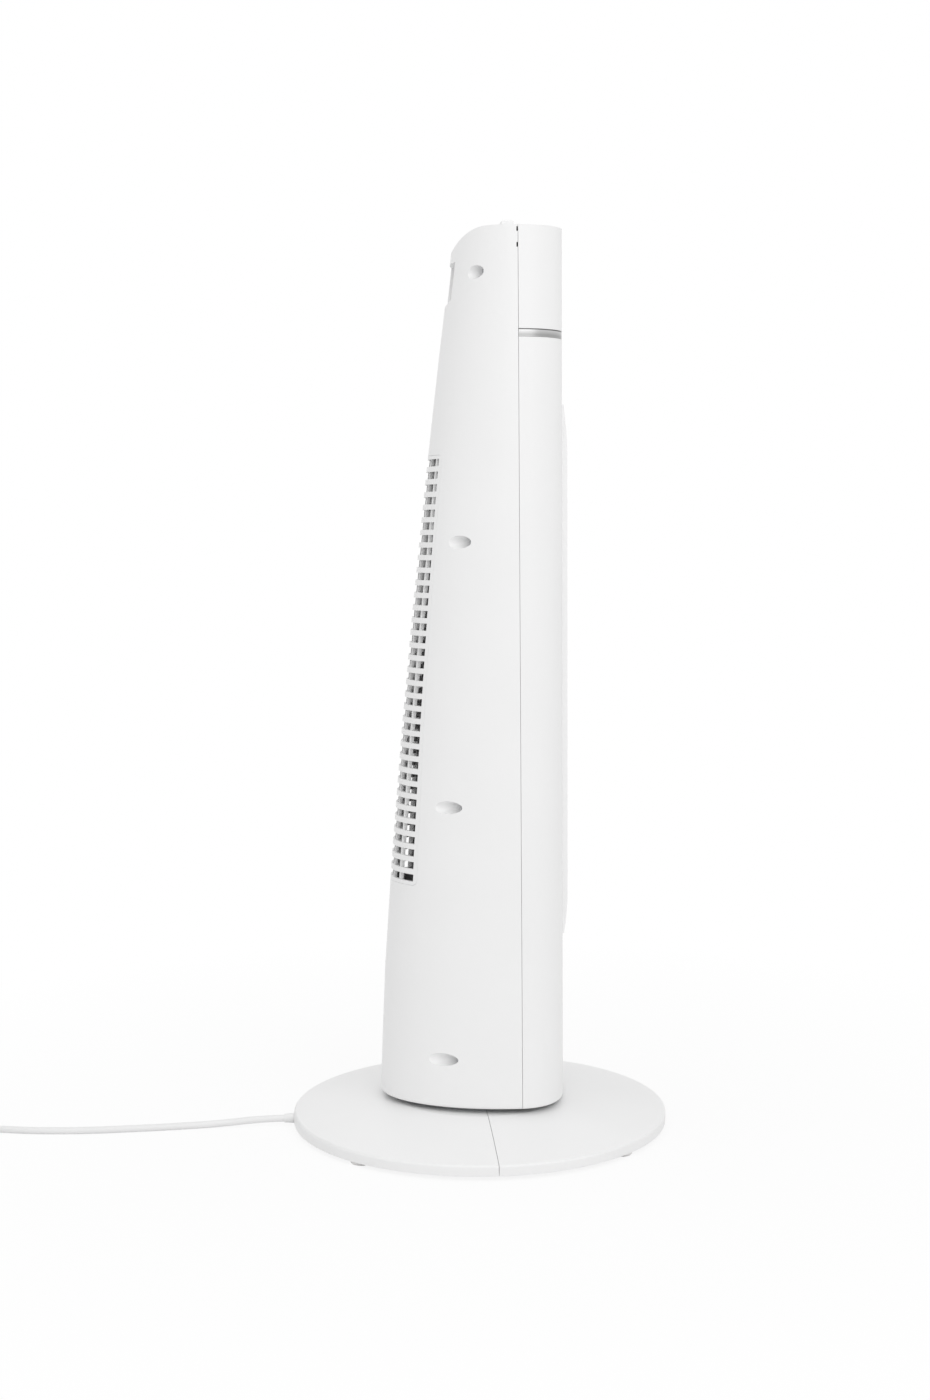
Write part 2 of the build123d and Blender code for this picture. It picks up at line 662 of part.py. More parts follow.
def swing_gear():
    root = MODULE * GEAR_TEETH / 2 - DEDENDUM
    collar = POST_RADIUS + GEAR_COLLAR
    count = int(GEAR_SECTOR * GEAR_TEETH / 360)
    angles = [90 + (i - count // 2) * 360 / GEAR_TEETH for i in range(count)]
    width = radians(GEAR_SECTOR / 2)
    side, rise = 2 * root * sin(width), 2 * root * cos(width)
    wedge = [(0, 0), (-side, rise), (-2 * root, 3 * root), (2 * root, 3 * root), (side, rise)]
    hub = Circle(collar) + (Circle(root) & make_face(Polyline(*wedge, close=True)))
    face = gear_face(GEAR_TEETH, hub, angles) - Circle(POST_RADIUS + PRESS_FIT)
    gear = extrude(Pos(0, 0, GEAR_BOTTOM) * face, GEAR_THICKNESS)
    reach = POST_RADIUS - KEY_DEPTH + KEY_FIT
    half = KEY_WIDTH / 2 - PRESS_FIT
    for angle in (0, 180):
        key = block(reach, collar - GEAR_COLLAR / 2, -half, half, GEAR_BOTTOM, GEAR_TOP)
        gear += Rot(0, 0, angle) * key
    return gear


def post_cap():
    cap = tube_z(0, 0, GEAR_TOP, CAP_TOP, POST_BORE, POST_RADIUS + SLEEVE_WALL)
    for angle in CAP_SCREW_ANGLES:
        x, y = ring_place(angle, POST_SCREW_RING)
        cap -= rod_z(x, y, GEAR_TOP - 1, CAP_TOP + 1, SCREW_RADIUS + SCREW_FIT)
    return cap


def cap_screws():
    places = [ring_place(angle, POST_SCREW_RING) for angle in CAP_SCREW_ANGLES]
    return solids_of([screw(Pos(x, y, CAP_TOP), SHORT_SCREW, SMALL_HEAD_RADIUS) for x, y in places])


# Swing drive in the tower
def swivel_plate():
    plate = inner_plate(SWIVEL_BOTTOM, SWIVEL_THICKNESS, BOTTOM_ROUND + WALL + PLATE_FIT)
    plate += rod_z(0, 0, SWIVEL_TOP, SWIVEL_TOP + SLEEVE_HEIGHT, POST_RADIUS + SLEEVE_WALL)
    plate -= rod_z(0, 0, 0, GEAR_TOP, POST_RADIUS + RUNNING_FIT)
    hole = SCREW_RADIUS + SCREW_FIT
    hole_bottom = SWING_MOTOR_BOTTOM + EAR_THICKNESS - SHORT_SCREW - SCREW_END_GAP
    for x in (-SWING_MOTOR_EAR, SWING_MOTOR_EAR):
        plate += rod_z(x, SWING_MOTOR_Y, SWIVEL_TOP, SWING_MOTOR_BOTTOM, BOSS_RADIUS)
        plate -= rod_z(x, SWING_MOTOR_Y, hole_bottom, SWING_MOTOR_BOTTOM, hole)
    front, rear = plate_screw_places()
    for x, y in front + rear:
        plate -= rod_z(x, y, 0, SWIVEL_TOP + 1, hole)
        plate -= rod_z(x, y, 0, SWIVEL_BOTTOM + HEAD_HEIGHT, SMALL_HEAD_RADIUS + SCREW_FIT)
    return plate


def plate_screws():
    front, rear = plate_screw_places()
    places = [Pos(x, y, SWIVEL_BOTTOM + HEAD_HEIGHT) * Rot(180, 0, 0) for x, y in front + rear]
    return solids_of([screw(place, PLATE_SCREW_LENGTH, SMALL_HEAD_RADIUS) for place in places])


def swing_motor():
    low = SWING_MOTOR_BOTTOM
    ear_top = low + EAR_THICKNESS
    can = rod_z(0, SWING_MOTOR_Y, low, low + SWING_MOTOR_HEIGHT, SWING_MOTOR_RADIUS)
    can = fillet(can.edges().group_by(Axis.Z)[-1], SWING_MOTOR_ROUND)
    front, back = SWING_MOTOR_Y - BOSS_RADIUS, SWING_MOTOR_Y + BOSS_RADIUS
    can += block(-SWING_MOTOR_EAR, SWING_MOTOR_EAR, front, back, low, ear_top)
    for x in (-SWING_MOTOR_EAR, SWING_MOTOR_EAR):
        can += rod_z(x, SWING_MOTOR_Y, low, ear_top, BOSS_RADIUS)
        can -= rod_z(x, SWING_MOTOR_Y, low - 1, ear_top + 1, SCREW_RADIUS + SCREW_FIT)
    bore = SWING_SHAFT_RADIUS + RUNNING_FIT
    return can - rod_z(0, SWING_MOTOR_Y, low - 1, low + SWING_MOTOR_HEIGHT / 2, bore)


def swing_motor_screws():
    seat = SWING_MOTOR_BOTTOM + EAR_THICKNESS
    places = [Pos(x, SWING_MOTOR_Y, seat) for x in (-SWING_MOTOR_EAR, SWING_MOTOR_EAR)]
    return solids_of([screw(place, SHORT_SCREW, SMALL_HEAD_RADIUS) for place in places])


def swing_pinion():
    root = MODULE * PINION_TEETH / 2 - DEDENDUM
    step = 360 / PINION_TEETH
    angles = [270 + step * (i + 0.5) for i in range(PINION_TEETH)]
    face = gear_face(PINION_TEETH, Circle(root), angles)
    pinion = extrude(Pos(0, SWING_MOTOR_Y, GEAR_BOTTOM) * face, GEAR_THICKNESS)
    shaft_top = SWING_MOTOR_BOTTOM + SWING_MOTOR_HEIGHT / 2 - SCREW_END_GAP
    return pinion + rod_z(0, SWING_MOTOR_Y, GEAR_BOTTOM, shaft_top, SWING_SHAFT_RADIUS)


# Covers
def intake_half(z):
    share = (z - SLOT_FIRST) / (SLOT_LAST - SLOT_FIRST)
    return SLOT_HALF_BOTTOM + (SLOT_HALF_TOP - SLOT_HALF_BOTTOM) * share


def intake_prism(border):
    """Back view of the slotted panel, with a border around the slots."""
    low = SLOT_FIRST - SLOT_HEIGHT / 2 - border
    high = SLOT_LAST + SLOT_HEIGHT / 2 + border
    low_half = intake_half(low) + border
    high_half = intake_half(high) + border
    points = [(-low_half, low), (low_half, low), (high_half, high), (-high_half, high)]
    return back_prism(points, 0, REAR_BOTTOM_Y + OUT, PANEL_ROUND)


def handle_pocket(grow):
    """The hand recess as seen from the side, grown by a wall."""
    floor_y = rear_reach(HANDLE_TOP) - HANDLE_DEPTH
    sill_y = rear_reach(HANDLE_SILL)
    points = [
        (sill_y + OUT, HANDLE_SILL - grow),
        (sill_y, HANDLE_SILL - grow),
        (floor_y - grow, HANDLE_SHELF - grow),
        (floor_y - grow, HANDLE_TOP + grow),
        (sill_y + OUT, HANDLE_TOP + grow),
    ]
    return side_prism(points, HANDLE_HALF + grow, [(2, HANDLE_ROUND), (3, HANDLE_ROUND)])


def rear_cover():
    outer = rear_body(0)
    body = outer - rear_body(WALL)
    for z in LEDGE_HEIGHTS:
        ring = block(-BIG, BIG, SEAM_Y, REAR_BOTTOM_Y, z - WALL, z) & outer
        body += ring - rear_body(WALL + LEDGE)
    for x, z, seat in screw_places():
        sleeve = rod_y(x, z, seat - SEAT_THICKNESS, REAR_BOTTOM_Y, SCOOP_RADIUS + SCOOP_WALL)
        body += sleeve & outer
    body += handle_pocket(WALL) & outer
    hole = SCREW_RADIUS + SCREW_FIT
    for x in (-SWITCH_EAR_X, SWITCH_EAR_X):
        body += rod_z(x, SWITCH_BOSS_Y, SWITCH_TOP, TOWER_TOP - WALL / 2, BOSS_RADIUS)
        body -= rod_z(x, SWITCH_BOSS_Y, SWITCH_TOP - 1, TOWER_TOP - WALL, hole)
    _, rear = plate_screw_places()
    bosses, holes = plate_bosses(rear)
    body += [boss & outer for boss in bosses]
    body -= holes
    for x, z, seat in screw_places():
        body -= rod_y(x, z, seat, REAR_BOTTOM_Y + OUT, SCOOP_RADIUS)
        body -= rod_y(x, z, seat - SEAT_THICKNESS - 1, seat + 1, hole)
    body -= handle_pocket(0)
    body -= intake_prism(SLOT_BORDER)
    body -= button_opening()
    notch = NOTCH_SIZE / 2
    for drop in NOTCH_DROPS:
        z = TOWER_TOP - drop
        body -= block(-BIG, BIG, SEAM_Y - 1, SEAM_Y + NOTCH_DEPTH, z - notch, z + notch)
    return body - block(-BIG, BIG, SEAM_Y - OUT, SEAM_Y + SEAM_GAP / 2, 0, TOWER_TOP + 1)


def intake_grille():
    panel = (rear_body(0) - rear_body(WALL)) & intake_prism(SLOT_BORDER - PANEL_FIT)
    slots = []
    for row in range(SLOT_ROWS):
        z = SLOT_FIRST + SLOT_PITCH * row
        half = intake_half(z)
        low, high = z - SLOT_HEIGHT / 2, z + SLOT_HEIGHT / 2
        slots.append(block(-half, half, 0, REAR_BOTTOM_Y + OUT, low, high))
    panel -= slots
    skin = rear_body(INTAKE_RIB_RECESS) - rear_body(INTAKE_RIB_RECESS + INTAKE_RIB_DEPTH)
    low = SLOT_FIRST - (SLOT_HEIGHT + SLOT_BORDER) / 2
    high = SLOT_LAST + (SLOT_HEIGHT + SLOT_BORDER) / 2
    half = INTAKE_RIB_WALL / 2
    places = [INTAKE_RIB_PITCH * (i - (INTAKE_RIBS - 1) / 2) for i in range(INTAKE_RIBS)]
    ribs = [skin & block(x - half, x + half, 0, REAR_BOTTOM_Y, low, high) for x in places]
    return panel + ribs


def button_opening():
    half = BUTTON_PITCH * (len(BUTTON_NAMES) - 1) / 2 + BUTTON_WIDTH / 2 + BUTTON_FIT
    back = BUTTON_Y + BUTTON_DEPTH / 2 + BUTTON_FIT
    return block(-half, half, SEAM_Y - 1, back, SWITCH_TOP, TOWER_TOP + OUT)


def front_cover():
    shoulder = TRIM_BOTTOM - TRIM_GAP
    top = TOWER_TOP - FASCIA_WALL - TRIM_GAP
    outer = front_body(0, TOWER_BOTTOM, shoulder) + front_body(CARRIER_INSET, shoulder - WALL, top)
    body = outer - front_body(WALL, TOWER_BOTTOM - OUT, shoulder - WALL)
    body -= front_body(CARRIER_INSET + CARRIER_WALL, shoulder - 2 * WALL, top + 1)
    outlet = OUTLET_HALF + LEDGE
    for z in LEDGE_HEIGHTS:
        ring = front_body(0, z - WALL, z) - front_body(WALL + LEDGE, z - 2 * WALL, z + WALL)
        body += ring - block(-outlet, outlet, FRONT_Y + WALL, SEAM_Y, z - 2 * WALL, z + WALL)
    body -= seam_cut()
    for x, z, seat in screw_places():
        post = rod_y(x, z, FRONT_Y, seat - SEAT_THICKNESS, SCREW_RADIUS + POST_WALL)
        body += post & outer
        body += post & block(-BIG, BIG, SEAM_Y - 1, REAR_BOTTOM_Y, 0, TOWER_TOP)
        tip = seat - SCREW_LENGTH - SCREW_END_GAP
        body -= rod_y(x, z, tip, seat, SCREW_RADIUS + SCREW_FIT)
    front, _ = plate_screw_places()
    bosses, holes = plate_bosses(front)
    body += [boss & outer for boss in bosses]
    body -= holes
    return body - front_window(GRILLE_NECK - PANEL_FIT)


def seam_cut():
    """What the pieces before the seam leave free of it."""
    return block(-BIG, BIG, SEAM_Y - SEAM_GAP / 2, SEAM_Y + 1, 0, TOWER_TOP + 1)


def front_window(inset):
    half = GRILLE_HALF - inset
    low, high = GRILLE_BOTTOM + inset, GRILLE_TOP - inset
    points = [(-half, low), (half, low), (half, high), (-half, high)]
    return back_prism(points, FRONT_Y - OUT, FRONT_Y + WALL + 1, WINDOW_ROUND)


def grille_prism(recess):
    """Side view of the front grille, with its raised face set back by a recess."""
    back = FRONT_Y + WALL
    edge = FRONT_Y - GRILLE_EDGE + recess
    face = FRONT_Y - GRILLE_PROUD + recess
    side = [
        (back, GRILLE_BOTTOM),
        (edge, GRILLE_BOTTOM),
        (face, GRILLE_BOTTOM + GRILLE_RAMP_BOTTOM),
        (face, GRILLE_TOP - GRILLE_RAMP_TOP),
        (edge, GRILLE_TOP),
        (back, GRILLE_TOP),
    ]
    return side_prism(side, GRILLE_HALF, [(2, GRILLE_RAMP_ROUND), (3, GRILLE_RAMP_ROUND)])


def front_grille():
    back = FRONT_Y + WALL
    frame = grille_prism(0)
    on_face = frame & block(-BIG, BIG, FRONT_Y - OUT, FRONT_Y, 0, TOWER_TOP)
    frame = on_face + (frame & front_window(GRILLE_NECK))
    half = GRILLE_HALF - GRILLE_FRAME
    low, high = GRILLE_BOTTOM + GRILLE_END, GRILLE_TOP - GRILLE_END
    frame -= block(-half, half, FRONT_Y - OUT, back + 1, low, high)
    count = int((high - low) / BAR_PITCH)
    start = (low + high - BAR_PITCH * (count - 1)) / 2
    face = grille_prism(BAR_RECESS)
    reach, thick = half + BAR_LAP, BAR_THICKNESS / 2
    bars = []
    for z in [start + BAR_PITCH * i for i in range(count)]:
        bar = block(-reach, reach, FRONT_Y - OUT, back - BAR_SETBACK, z - thick, z + thick)
        bars.append(bar & face)
    wall = OUTLET_RIB_WALL / 2
    low, high = low - BAR_LAP, high + BAR_LAP
    places = [2 * half * (i + 1) / (OUTLET_RIBS + 1) - half for i in range(OUTLET_RIBS)]
    ribs = [block(x - wall, x + wall, back - OUTLET_RIB_DEPTH, back, low, high) for x in places]
    return frame + bars + ribs


def trim_band():
    outer = front_body(TRIM_RECESS, TRIM_BOTTOM, TRIM_TOP)
    return outer - front_body(CARRIER_INSET - TRIM_SEAT, TRIM_BOTTOM - 1, TRIM_TOP + 1) - seam_cut()


def control_fascia():
    low = TRIM_TOP + TRIM_GAP
    hollow = front_body(FASCIA_WALL, low - 1, TOWER_TOP - FASCIA_WALL)
    return front_body(0, low, TOWER_TOP) - hollow - seam_cut()


def cover_screws():
    places = [Pos(x, seat, z) * Rot(-90, 0, 0) for x, z, seat in screw_places()]
    return solids_of([screw(place) for place in places])


# Main motor and fan wheel
def ear_places():
    return [ring_place(angle, EAR_REACH, 0, FAN_Y) for angle in EAR_ANGLES]


def motor_plate():
    plate = inner_plate(MOTOR_PLATE_BOTTOM, PLATE_THICKNESS)
    plate -= rod_z(0, FAN_Y, 0, DUCT_BOTTOM + 1, PLATE_HOLE)
    for x, y in ear_places():
        boss_top = DUCT_BOTTOM + MOTOR_BOSS_HEIGHT
        plate += rod_z(x, y, DUCT_BOTTOM, boss_top, BOSS_RADIUS)
        plate -= rod_z(x, y, 0, boss_top + 1, SCREW_RADIUS + SCREW_FIT)
    return plate


def motor_upper_bell():
    low, top = UPPER_BELL_BOTTOM, EAR_TOP
    bell = rod_z(0, FAN_Y, low, top, MOTOR_RADIUS)
    for angle, (x, y) in zip(EAR_ANGLES, ear_places()):
        bell += rod_z(x, y, top - EAR_THICKNESS, top, EAR_RADIUS)
        arm = block(0, EAR_REACH, -EAR_RADIUS, EAR_RADIUS, top - EAR_THICKNESS, top)
        bell += Pos(0, FAN_Y, 0) * Rot(0, 0, angle) * arm
    bell -= rod_z(0, FAN_Y, low - 1, top - BELL_WALL, MOTOR_RADIUS - BELL_WALL)
    bell += rod_z(0, FAN_Y, top - BEARING_LENGTH, top, BEARING_BOSS)
    for x, y in ear_places():
        bell -= rod_z(x, y, low - 1, top + 1, SCREW_RADIUS + SCREW_CLEARANCE)
    return bell - rod_z(0, FAN_Y, low - 1, top + 1, SHAFT_RADIUS + RUNNING_FIT)


def motor_lower_bell():
    low, top = LOWER_BELL_BOTTOM, STATOR_BOTTOM
    bell = rod_z(0, FAN_Y, low, top, MOTOR_RADIUS)
    bell -= rod_z(0, FAN_Y, low + BELL_WALL, top + 1, MOTOR_RADIUS - BELL_WALL)
    bell += rod_z(0, FAN_Y, low, low + BEARING_LENGTH, BEARING_BOSS)
    return bell - rod_z(0, FAN_Y, low - 1, top + 1, SHAFT_RADIUS + RUNNING_FIT)


def motor_stator():
    return tube_z(0, FAN_Y, STATOR_BOTTOM, UPPER_BELL_BOTTOM, ROTOR_RADIUS + AIR_GAP, MOTOR_RADIUS)


def motor_windings():
    lows = (STATOR_BOTTOM - WINDING_HEIGHT, UPPER_BELL_BOTTOM)
    return solids_of([
        tube_z(0, FAN_Y, low, low + WINDING_HEIGHT, WINDING_INNER, WINDING_OUTER) for low in lows
    ])


def motor_rotor():
    low, high = STATOR_BOTTOM - ROTOR_OVERHANG, UPPER_BELL_BOTTOM + ROTOR_OVERHANG
    return tube_z(0, FAN_Y, low, high, SHAFT_RADIUS + PRESS_FIT, ROTOR_RADIUS)


def motor_shaft():
    return rod_z(0, FAN_Y, LOWER_BELL_BOTTOM, FAN_BOTTOM + FAN_HUB_LENGTH, SHAFT_RADIUS)


def motor_grommets():
    bore = SCREW_RADIUS + SCREW_CLEARANCE
    return solids_of([
        tube_z(x, y, EAR_TOP, MOTOR_PLATE_BOTTOM, bore, GROMMET_RADIUS) for x, y in ear_places()
    ])


def motor_screws():
    seat = EAR_TOP - EAR_THICKNESS
    length = EAR_THICKNESS + GROMMET_HEIGHT + PLATE_THICKNESS + MOTOR_BOSS_HEIGHT
    return solids_of([screw(Pos(x, y, seat) * Rot(180, 0, 0), length) for x, y in ear_places()])


def impeller():
    outer = Vector(FAN_RADIUS - BLADE_INSET, 0, 0)
    lead = radians(BLADE_LEAD)
    inner = Vector(FAN_BORE * cos(lead), FAN_BORE * sin(lead), 0)
    along = (outer - inner).normalized()
    across = Vector(-along.Y, along.X, 0)
    middle = (outer + inner) * 0.5 - across * BLADE_BOW
    thick = across * BLADE_THICKNESS
    blade = make_face([
        ThreePointArc(inner, middle, outer),
        Line(outer, outer + thick),
        ThreePointArc(outer + thick, middle + thick, inner + thick),
        Line(inner + thick, inner),
    ])
    low, high = FAN_BOTTOM, FAN_TOP
    blades = Sketch() + [Rot(0, 0, 360 * i / FAN_BLADES) * blade for i in range(FAN_BLADES)]
    wheel = extrude(Pos(0, FAN_Y, low) * blades, high - low)
    wheel += rod_z(0, FAN_Y, low, low + DISC_THICKNESS, FAN_RADIUS)
    wheel += rod_z(0, FAN_Y, high - DISC_THICKNESS, high, FAN_RADIUS)
    for i in range(1, FAN_SECTIONS):
        z = low + (high - low) * i / FAN_SECTIONS
        bottom, top = z - RING_THICKNESS / 2, z + RING_THICKNESS / 2
        wheel += tube_z(0, FAN_Y, bottom, top, FAN_BORE - RING_LAP, FAN_RADIUS)
    wheel += rod_z(0, FAN_Y, low, low + FAN_HUB_LENGTH, FAN_HUB_RADIUS)
    wheel += rod_z(0, FAN_Y, high, high + JOURNAL_LENGTH, SHAFT_RADIUS)
    return wheel - rod_z(0, FAN_Y, low - 1, low + FAN_HUB_LENGTH, SHAFT_RADIUS + PRESS_FIT)


# Air guides
def fan_point(angle, radius):
    return Vector(*ring_place(angle, radius, 0, FAN_Y), 0)


def guide(angles, radii, outlet_x):
    """A curved wall beside the wheel that runs on to the outlet."""
    front = FRONT_Y + WALL + DUCT_FRONT_GAP
    side = 1 if outlet_x > 0 else -1
    near = [fan_point(angle, radius) for angle, radius in zip(angles, radii)]
    far = [fan_point(angle, radius + DUCT_WALL) for angle, radius in zip(angles, radii)]
    near_end = Vector(outlet_x, front, 0)
    far_end = Vector(outlet_x + side * DUCT_WALL, front, 0)
    face = make_face([
        ThreePointArc(*near),
        Polyline(near[2], near_end, far_end, far[2]),
        ThreePointArc(*reversed(far)),
        Line(far[0], near[0]),
    ])
    return extrude(Pos(0, 0, DUCT_BOTTOM) * face, UPPER_PLATE_BOTTOM - DUCT_BOTTOM)


def volute_guide():
    start = FAN_RADIUS + DUCT_GAP
    radii = (start, start + DUCT_GROWTH / 2, start + DUCT_GROWTH)
    return guide(VOLUTE_ANGLES, radii, OUTLET_HALF)


def tongue_guide():
    start = FAN_RADIUS + DUCT_GAP
    radii = (start + DUCT_GROWTH, start + DUCT_GROWTH / 2, start)
    return guide(TONGUE_ANGLES, radii, -OUTLET_HALF)


def upper_plate():
    plate = inner_plate(UPPER_PLATE_BOTTOM, PLATE_THICKNESS)
    low, top = UPPER_PLATE_TOP, UPPER_PLATE_TOP + BEARING_HEIGHT
    plate += rod_z(0, FAN_Y, low, top, RUBBER_RADIUS + BEARING_CUP_WALL)
    plate -= rod_z(0, FAN_Y, low, top + 1, RUBBER_RADIUS + PRESS_FIT)
    return plate - rod_z(0, FAN_Y, 0, low + 1, SHAFT_RADIUS + JOURNAL_CLEARANCE)


def bearing_rubber():
    top = UPPER_PLATE_TOP + BEARING_HEIGHT
    return tube_z(0, FAN_Y, UPPER_PLATE_TOP, top, BUSH_RADIUS + PRESS_FIT, RUBBER_RADIUS)


def bearing_bush():
    top = UPPER_PLATE_TOP + BEARING_HEIGHT
    return tube_z(0, FAN_Y, UPPER_PLATE_TOP, top, SHAFT_RADIUS + RUNNING_FIT, BUSH_RADIUS)


# Buttons and switch block
def button_places():
    middle = (len(BUTTON_NAMES) - 1) / 2
    return [BUTTON_PITCH * (i - middle) for i in range(len(BUTTON_NAMES))]


def push_button(x):
    half, depth, stem = BUTTON_WIDTH / 2, BUTTON_DEPTH / 2, STEM_WIDTH / 2
    top = TOWER_TOP + BUTTON_PROUD
    cap = block(x - half, x + half, BUTTON_Y - depth, BUTTON_Y + depth, BUTTON_BOTTOM, top)
    cap = fillet(cap.edges().group_by(Axis.Z)[-1], BUTTON_ROUND)
    low = BUTTON_BOTTOM - STEM_LENGTH
    return cap + block(x - stem, x + stem, BUTTON_Y - stem, BUTTON_Y + stem, low, BUTTON_BOTTOM)


def switch_block():
    depth = SWITCH_DEPTH / 2
    low = SWITCH_TOP - SWITCH_HEIGHT
    body = block(-SWITCH_HALF, SWITCH_HALF, BUTTON_Y - depth, BUTTON_Y + depth, low, SWITCH_TOP)
    ear_low, ear_back = SWITCH_TOP - SWITCH_EAR_THICKNESS, SWITCH_BOSS_Y + BOSS_RADIUS
    for x in (-SWITCH_EAR_X, SWITCH_EAR_X):
        body += block(x - BOSS_RADIUS, x + BOSS_RADIUS, BUTTON_Y, ear_back, ear_low, SWITCH_TOP)
        body -= rod_z(x, SWITCH_BOSS_Y, low, SWITCH_TOP + 1, SCREW_RADIUS + SCREW_FIT)
    slot = STEM_WIDTH / 2 + BUTTON_FIT
    deep = BUTTON_BOTTOM - STEM_LENGTH - BUTTON_TRAVEL - STEM_END_GAP
    for x in button_places():
        body -= block(x - slot, x + slot, BUTTON_Y - slot, BUTTON_Y + slot, deep, SWITCH_TOP + 1)
    return body


def switch_screws():
    seat = SWITCH_TOP - SWITCH_EAR_THICKNESS
    places = [Pos(x, SWITCH_BOSS_Y, seat) * Rot(180, 0, 0) for x in (-SWITCH_EAR_X, SWITCH_EAR_X)]
    length = TOWER_TOP - WALL - seat - SCREW_END_GAP
    return solids_of([screw(place, length, SMALL_HEAD_RADIUS) for place in places])


# Power cord
def strain_relief():
    inside = BASE_RADIUS - RELIEF_INSIDE
    outside = BASE_RADIUS + RELIEF_OUTSIDE
    profile = [
        (CORD_DIAMETER / 2, inside),
        (RELIEF_RADIUS, inside),
        (RELIEF_RADIUS, BASE_RADIUS + RELIEF_COLLAR),
        (RELIEF_TIP, outside),
        (CORD_DIAMETER / 2, outside),
    ]
    face = make_face(Polyline(*profile, close=True))
    boot = revolve(face, Axis.Y)
    back = BASE_RADIUS - BASE_WALL - RELIEF_FLANGE_GAP
    front = back - RELIEF_FLANGE_THICKNESS
    top = RIM_TOP - BASE_WALL - CORD_HEIGHT - RELIEF_FLANGE_EASE
    half = RELIEF_FLANGE / 2
    boot += block(-half, half, front, back, -RELIEF_RADIUS, top)
    boot -= rod_y(0, 0, inside - 1, outside + 1, CORD_DIAMETER / 2)
    return Pos(0, 0, CORD_HEIGHT) * boot


def coil_point(turns):
    """A point on the coil's middle line, counted in turns from its outer end."""
    from_reversal = abs(turns - COIL_REVERSAL)
    if from_reversal < COIL_BLEND:
        from_reversal = (COIL_BLEND + from_reversal**2 / COIL_BLEND) / 2
    radius = COIL_INNER + COIL_PITCH * from_reversal
    climb = min(max((turns - COIL_REVERSAL) / 0.5 + 0.5, 0), 1)
    height = COIL_LOW + COIL_RISE * climb**2 * (3 - 2 * climb)
    angle = 2 * pi * turns
    across, along = radius * cos(angle), radius * sin(angle)
    return Vector(COIL_CENTRE[0] + across, COIL_CENTRE[1] + along, height)


def coil_direction(turns):
    step = 0.001
    return (coil_point(turns + step) - coil_point(turns - step)).normalized()


def biarc(start, start_way, end, end_way):
    """Two arcs that leave start and reach end in the given directions."""
    span = end - start
    ways = start_way + end_way
    spread = 2 * (1 - start_way.dot(end_way))
    reach = (sqrt(span.dot(ways) ** 2 + spread * span.dot(span)) - span.dot(ways)) / spread
    middle = (start + end + (start_way - end_way) * reach) * 0.5
    first = TangentArc(start, middle, tangent=start_way)
    return [first, TangentArc(middle, end, tangent=first % 1)]


def coil_path():
    quarters = round(COIL_TURNS * 4)
    first, last = coil_point(0), coil_point(COIL_TURNS)
    edges = [Line(first - coil_direction(0) * CORD_DIAMETER, first)]
    for i in range(quarters):
        a, b = i / 4, (i + 1) / 4
        edges += biarc(coil_point(a), coil_direction(a), coil_point(b), coil_direction(b))
    edges.append(Line(last, last + coil_direction(COIL_TURNS) * COIL_TAIL))
    return Wire([edge.edges()[0] for edge in edges])


def tube_along(path):
    section = Plane(origin=path @ 0, z_dir=path % 0) * Circle(CORD_DIAMETER / 2)
    tube = sweep(section, path)
    expected = pi * CORD_DIAMETER**2 / 4 * path.length
    print(f"  tube {path.length:.1f} mm long, volume {tube.volume / expected:.5f} of section times length")
    return tube


def coil_least_gap():
    steps = 48
    points = [coil_point(i / steps) for i in range(round(COIL_TURNS * steps) + 1)]
    far = steps // 2
    pairs = [(p, q) for i, p in enumerate(points) for q in points[i + far:]]
    return min((q - p).length for p, q in pairs) - CORD_DIAMETER


def cord_points():
    """The route of the free cord, chosen by hand, from the strain relief to the coil."""
    coil_start = coil_point(0) - coil_direction(0) * CORD_DIAMETER
    before = coil_start - coil_direction(0) * 30
    exit_y = BASE_RADIUS + RELIEF_OUTSIDE
    return [
        Vector(0, exit_y, CORD_HEIGHT),
        Vector(0, exit_y + 20, CORD_HEIGHT),
        Vector(-1.5, exit_y + 55, FLOOR_LINE),
        Vector(-6, exit_y + 108, FLOOR_LINE),
        Vector(-8, exit_y + 165, FLOOR_LINE),
        Vector(-2, exit_y + 212, FLOOR_LINE),
        before,
        coil_start,
    ]


def power_cord():
    points = cord_points()
    radii = []
    for before, corner, after in zip(points, points[1:], points[2:]):
        turn = radians((corner - before).get_angle(after - corner))
        radii.append(0.45 * min((corner - before).length, (after - corner).length) / tan(turn / 2))
    print("  cord radii", [round(r) for r in radii])
    return tube_along(FilletPolyline(*points, radius=radii))


def cord_coil():
    print(f"  coil's least gap to itself {coil_least_gap():.2f} mm")
    return tube_along(coil_path())


def cord_tie():
    """A flat band around all the turns, on the coil's -X side."""
    turns = [i + 0.5 for i in range(int(COIL_TURNS))]
    centre = Vector(*COIL_CENTRE, 0)
    offsets = [coil_point(t) - centre for t in turns]
    reaches = [hypot(offset.X, offset.Y) for offset in offsets]
    margin = CORD_DIAMETER / 2 + TIE_FIT
    near = min(reaches) - sqrt(min(reaches) ** 2 - (TIE_WIDTH / 2) ** 2)
    x0 = COIL_CENTRE[0] - max(reaches) - margin
    x1 = COIL_CENTRE[0] - min(reaches) + margin + near
    z0 = COIL_LOW - margin
    z1 = COIL_LOW + COIL_RISE + margin
    y0, y1 = COIL_CENTRE[1] - TIE_WIDTH / 2, COIL_CENTRE[1] + TIE_WIDTH / 2
    outer = block(x0 - TIE_WALL, x1 + TIE_WALL, y0, y1, z0 - TIE_WALL, z1 + TIE_WALL)
    outer = fillet(outer.edges().filter_by(Axis.Y), TIE_ROUND)
    return outer - block(x0, x1, y0 - 1, y1 + 1, z0, z1)


def plug_plane():
    way = coil_direction(COIL_TURNS)
    origin = coil_point(COIL_TURNS) + way * COIL_TAIL
    return Plane(origin=origin, x_dir=Vector(0, 0, 1).cross(way), z_dir=way)


